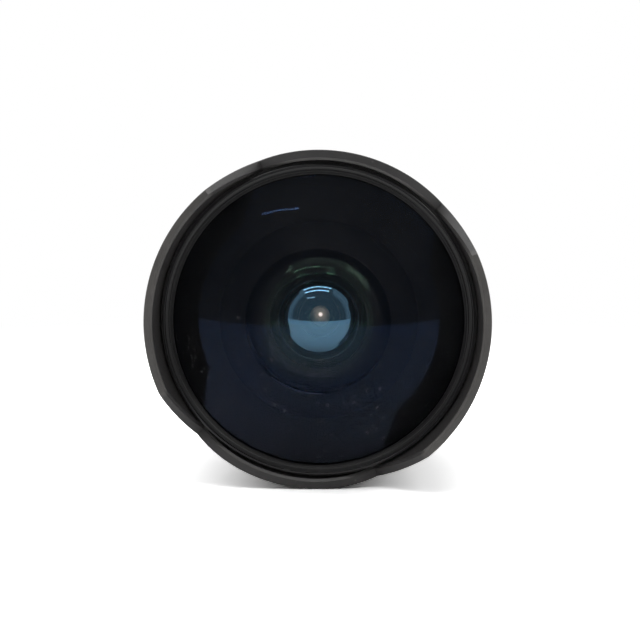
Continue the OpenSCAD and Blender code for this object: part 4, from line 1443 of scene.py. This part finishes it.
@dataclass(frozen=True)
class Studio:
    """White floor, dim room in front, white backdrop behind, strip lamps and the camera."""

    floor_size: float = 12.0
    floor_white: float = 0.86
    floor_seen: float = 2.0
    lit_reach: Point = (0.12, 0.37)
    floor_front: float = 0.40
    back_fill: float = 0.4
    room_dim: float = 0.2
    side_white: float = 0.4
    back_edge: Point = (0.0, 0.3)
    side_edge: Point = (0.40, 0.46)
    front_edge: Point = (-0.52, -0.34)
    lens_length: float = 91.8
    sensor_width: float = 36.0
    distance: float = 350.0
    azimuth: float = 1.65
    elevation: float = 5.0
    aim_right: float = 0.6
    aim_up: float = 0.92
    strips: tuple[Strip, ...] = (
        Strip("strip_near", (-0.49, -1.08, 1.16), 0.46, 0.024, 7.5),
        Strip("strip_middle", (-0.12, -0.672, 1.33), 1.25, 0.045, 20.0),
        Strip("strip_far", (-0.13, -0.42, 1.44), 1.42, 0.045, 20.0),
    )
    softboxes: tuple[Softbox, ...] = (
        Softbox("softbox_above", (0.0, 0.2, 1.2), (1.6, 0.8), 2.6),
        Softbox("softbox_left", (-1.05, 0.08, 0.85), (0.5, 1.1), 6.2),
        Softbox("softbox_right", (1.05, 0.08, 0.85), (0.5, 1.1), 6.2),
    )

    def build(self) -> None:
        """Sets the whole stage."""
        self.lay_floor()
        self.light_room()
        for box in self.softboxes:
            self.hang_lamp(box.name, box.centre, box.size, box.watts)
        for strip in self.strips:
            self.hang_strip(strip)
        self.set_camera()

    def lay_floor(self) -> None:
        """Lays the floor under the hood, lit near the lens and plain white far from it."""
        clear_selection()
        level = node_box("hood")[0].z
        bpy.ops.mesh.primitive_plane_add(
            size=self.floor_size, location=(0, self.floor_size / 2 - self.floor_front, level))
        floor = bpy.context.object
        name_piece(floor, "floor")
        apply_place()
        made = bpy.data.materials.new("white_paper")
        made.use_nodes = True
        wiring = Wiring(made.node_tree)
        made.node_tree.nodes.remove(made.node_tree.nodes["Principled BSDF"])
        shader = wiring.add("BsdfDiffuse")
        direct = wiring.add("LightPath").outputs["Is Camera Ray"]
        tone = wiring.blend(direct, (self.floor_white,) * 3, (self.floor_seen,) * 3)
        wiring.link(tone, shader.inputs["Color"])
        away = wiring.add("VectorMath", operation="LENGTH")
        wiring.link(wiring.add("TexCoord").outputs["Object"], away.inputs[0])
        far = wiring.ramp(away.outputs["Value"], *self.lit_reach)
        share = wiring.sum("MULTIPLY", far, self.seen(wiring))
        white = wiring.add("Emission", strength=1.0)
        mixed = wiring.add("MixShader")
        wiring.link(share, mixed.inputs[0])
        wiring.link(shader.outputs[0], mixed.inputs[1])
        wiring.link(white.outputs[0], mixed.inputs[2])
        wiring.link(mixed.outputs[0], made.node_tree.nodes["Material Output"].inputs["Surface"])
        floor.data.materials.append(made)

    @staticmethod
    def seen(wiring: Wiring) -> bpy.types.NodeSocket:
        """Says whether a ray comes from the camera, or from it by way of metal or glass.

        Args:
            wiring: The tree to work in.

        Returns:
            A socket that is 1 for such rays.
        """
        path = wiring.add("LightPath").outputs
        mirrored = wiring.sum("MAXIMUM", path["Is Glossy Ray"], path["Is Transmission Ray"])
        return wiring.sum("MAXIMUM", path["Is Camera Ray"], mirrored)

    def light_room(self) -> None:
        """Makes the surroundings: white behind and beside the lens, dim in front of it."""
        world = bpy.data.worlds.new("room")
        bpy.context.scene.world = world
        world.use_nodes = True
        wiring = Wiring(world.node_tree)
        way = wiring.add("SeparateXYZ", vector=wiring.add("TexCoord").outputs["Generated"])
        behind = wiring.ramp(way.outputs["Y"], *self.back_edge)
        aside = wiring.ramp(wiring.sum("ABSOLUTE", way.outputs["X"]), *self.side_edge)
        level = wiring.ramp(way.outputs["Y"], *self.front_edge, 0.0, self.side_white)
        fill = wiring.ramp(self.seen(wiring), 0.0, 1.0, self.back_fill, 1.0)
        beside = wiring.sum("MULTIPLY", aside, level)
        bright = wiring.sum("MAXIMUM", wiring.sum("MULTIPLY", behind, fill), beside)
        room = wiring.blend(bright, (self.room_dim,) * 3, (1.0, 1.0, 1.0))
        path = wiring.add("LightPath").outputs["Is Camera Ray"]
        colour = wiring.blend(path, room, (1.0, 1.0, 1.0))
        wiring.link(colour, world.node_tree.nodes["Background"].inputs["Color"])

    def hang_lamp(self, name: str, centre: Sequence[float], size: Point, watts: float,
                  aim: Sequence[float] = (0.0, 0.0, 0.0)) -> None:
        """Hangs an area lamp that faces the lens.

        Args:
            name: The lamp's name.
            centre: Its place, in metres.
            size: Its length across and its width.
            watts: Its power.
            aim: The point that it faces.
        """
        lamp = bpy.data.lights.new(name, "AREA")
        lamp.shape = "RECTANGLE"
        lamp.size, lamp.size_y = size
        lamp.energy = watts
        hung = bpy.data.objects.new(name, lamp)
        hung.location = centre
        hung.rotation_euler = (Vector(aim) - Vector(centre)).to_track_quat("-Z", "Y").to_euler()
        hung.visible_camera = False
        bpy.context.scene.collection.objects.link(hung)

    def hang_strip(self, strip: Strip) -> None:
        """Hangs one strip lamp at its radiance, square to the lens.

        Args:
            strip: The strip.
        """
        watts = math.pi * strip.radiance * strip.length * strip.width
        aim = (strip.centre[0], 0.0, 0.0)
        self.hang_lamp(strip.name, strip.centre, (strip.length, strip.width), watts, aim)

    def set_camera(self) -> None:
        """Puts the camera where the photograph was taken from."""
        turn, rise = math.radians(self.azimuth), math.radians(self.elevation)
        tips = Vector((0, -node_front("hood") * MM, 0))
        back = Vector((math.sin(turn) * math.cos(rise), -math.cos(turn) * math.cos(rise), math.sin(rise)))
        right = Vector((math.cos(turn), math.sin(turn), 0))
        up = right.cross(-back)
        seen = bpy.data.cameras.new("camera")
        seen.lens = self.lens_length
        seen.sensor_width = self.sensor_width
        camera = bpy.data.objects.new("camera", seen)
        camera.location = tips + back * self.distance * MM
        aim = tips + right * self.aim_right * MM + up * self.aim_up * MM
        camera.rotation_euler = (aim - camera.location).to_track_quat("-Z", "Y").to_euler()
        bpy.context.scene.collection.objects.link(camera)
        bpy.context.scene.camera = camera


def main() -> None:
    """Builds the stage, dresses the CAD nodes and models the new pieces."""
    logging.basicConfig(level=logging.INFO, format="%(name)s: %(message)s")
    scene = bpy.context.scene
    scene.view_settings.view_transform = "Standard"
    scene.cycles.max_bounces = LIGHT_BOUNCES
    scene.cycles.transmission_bounces = LIGHT_BOUNCES
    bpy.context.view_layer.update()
    Studio().build()
    dress_nodes()
    for element in ELEMENTS:
        element.model()
    Hood().model()
    FrontRing().model()
    Grip().model()
    for screws in SCREWS:
        screws.model()
    for marks in SCALES:
        marks.model()


if __name__ == "__main__":
    main()
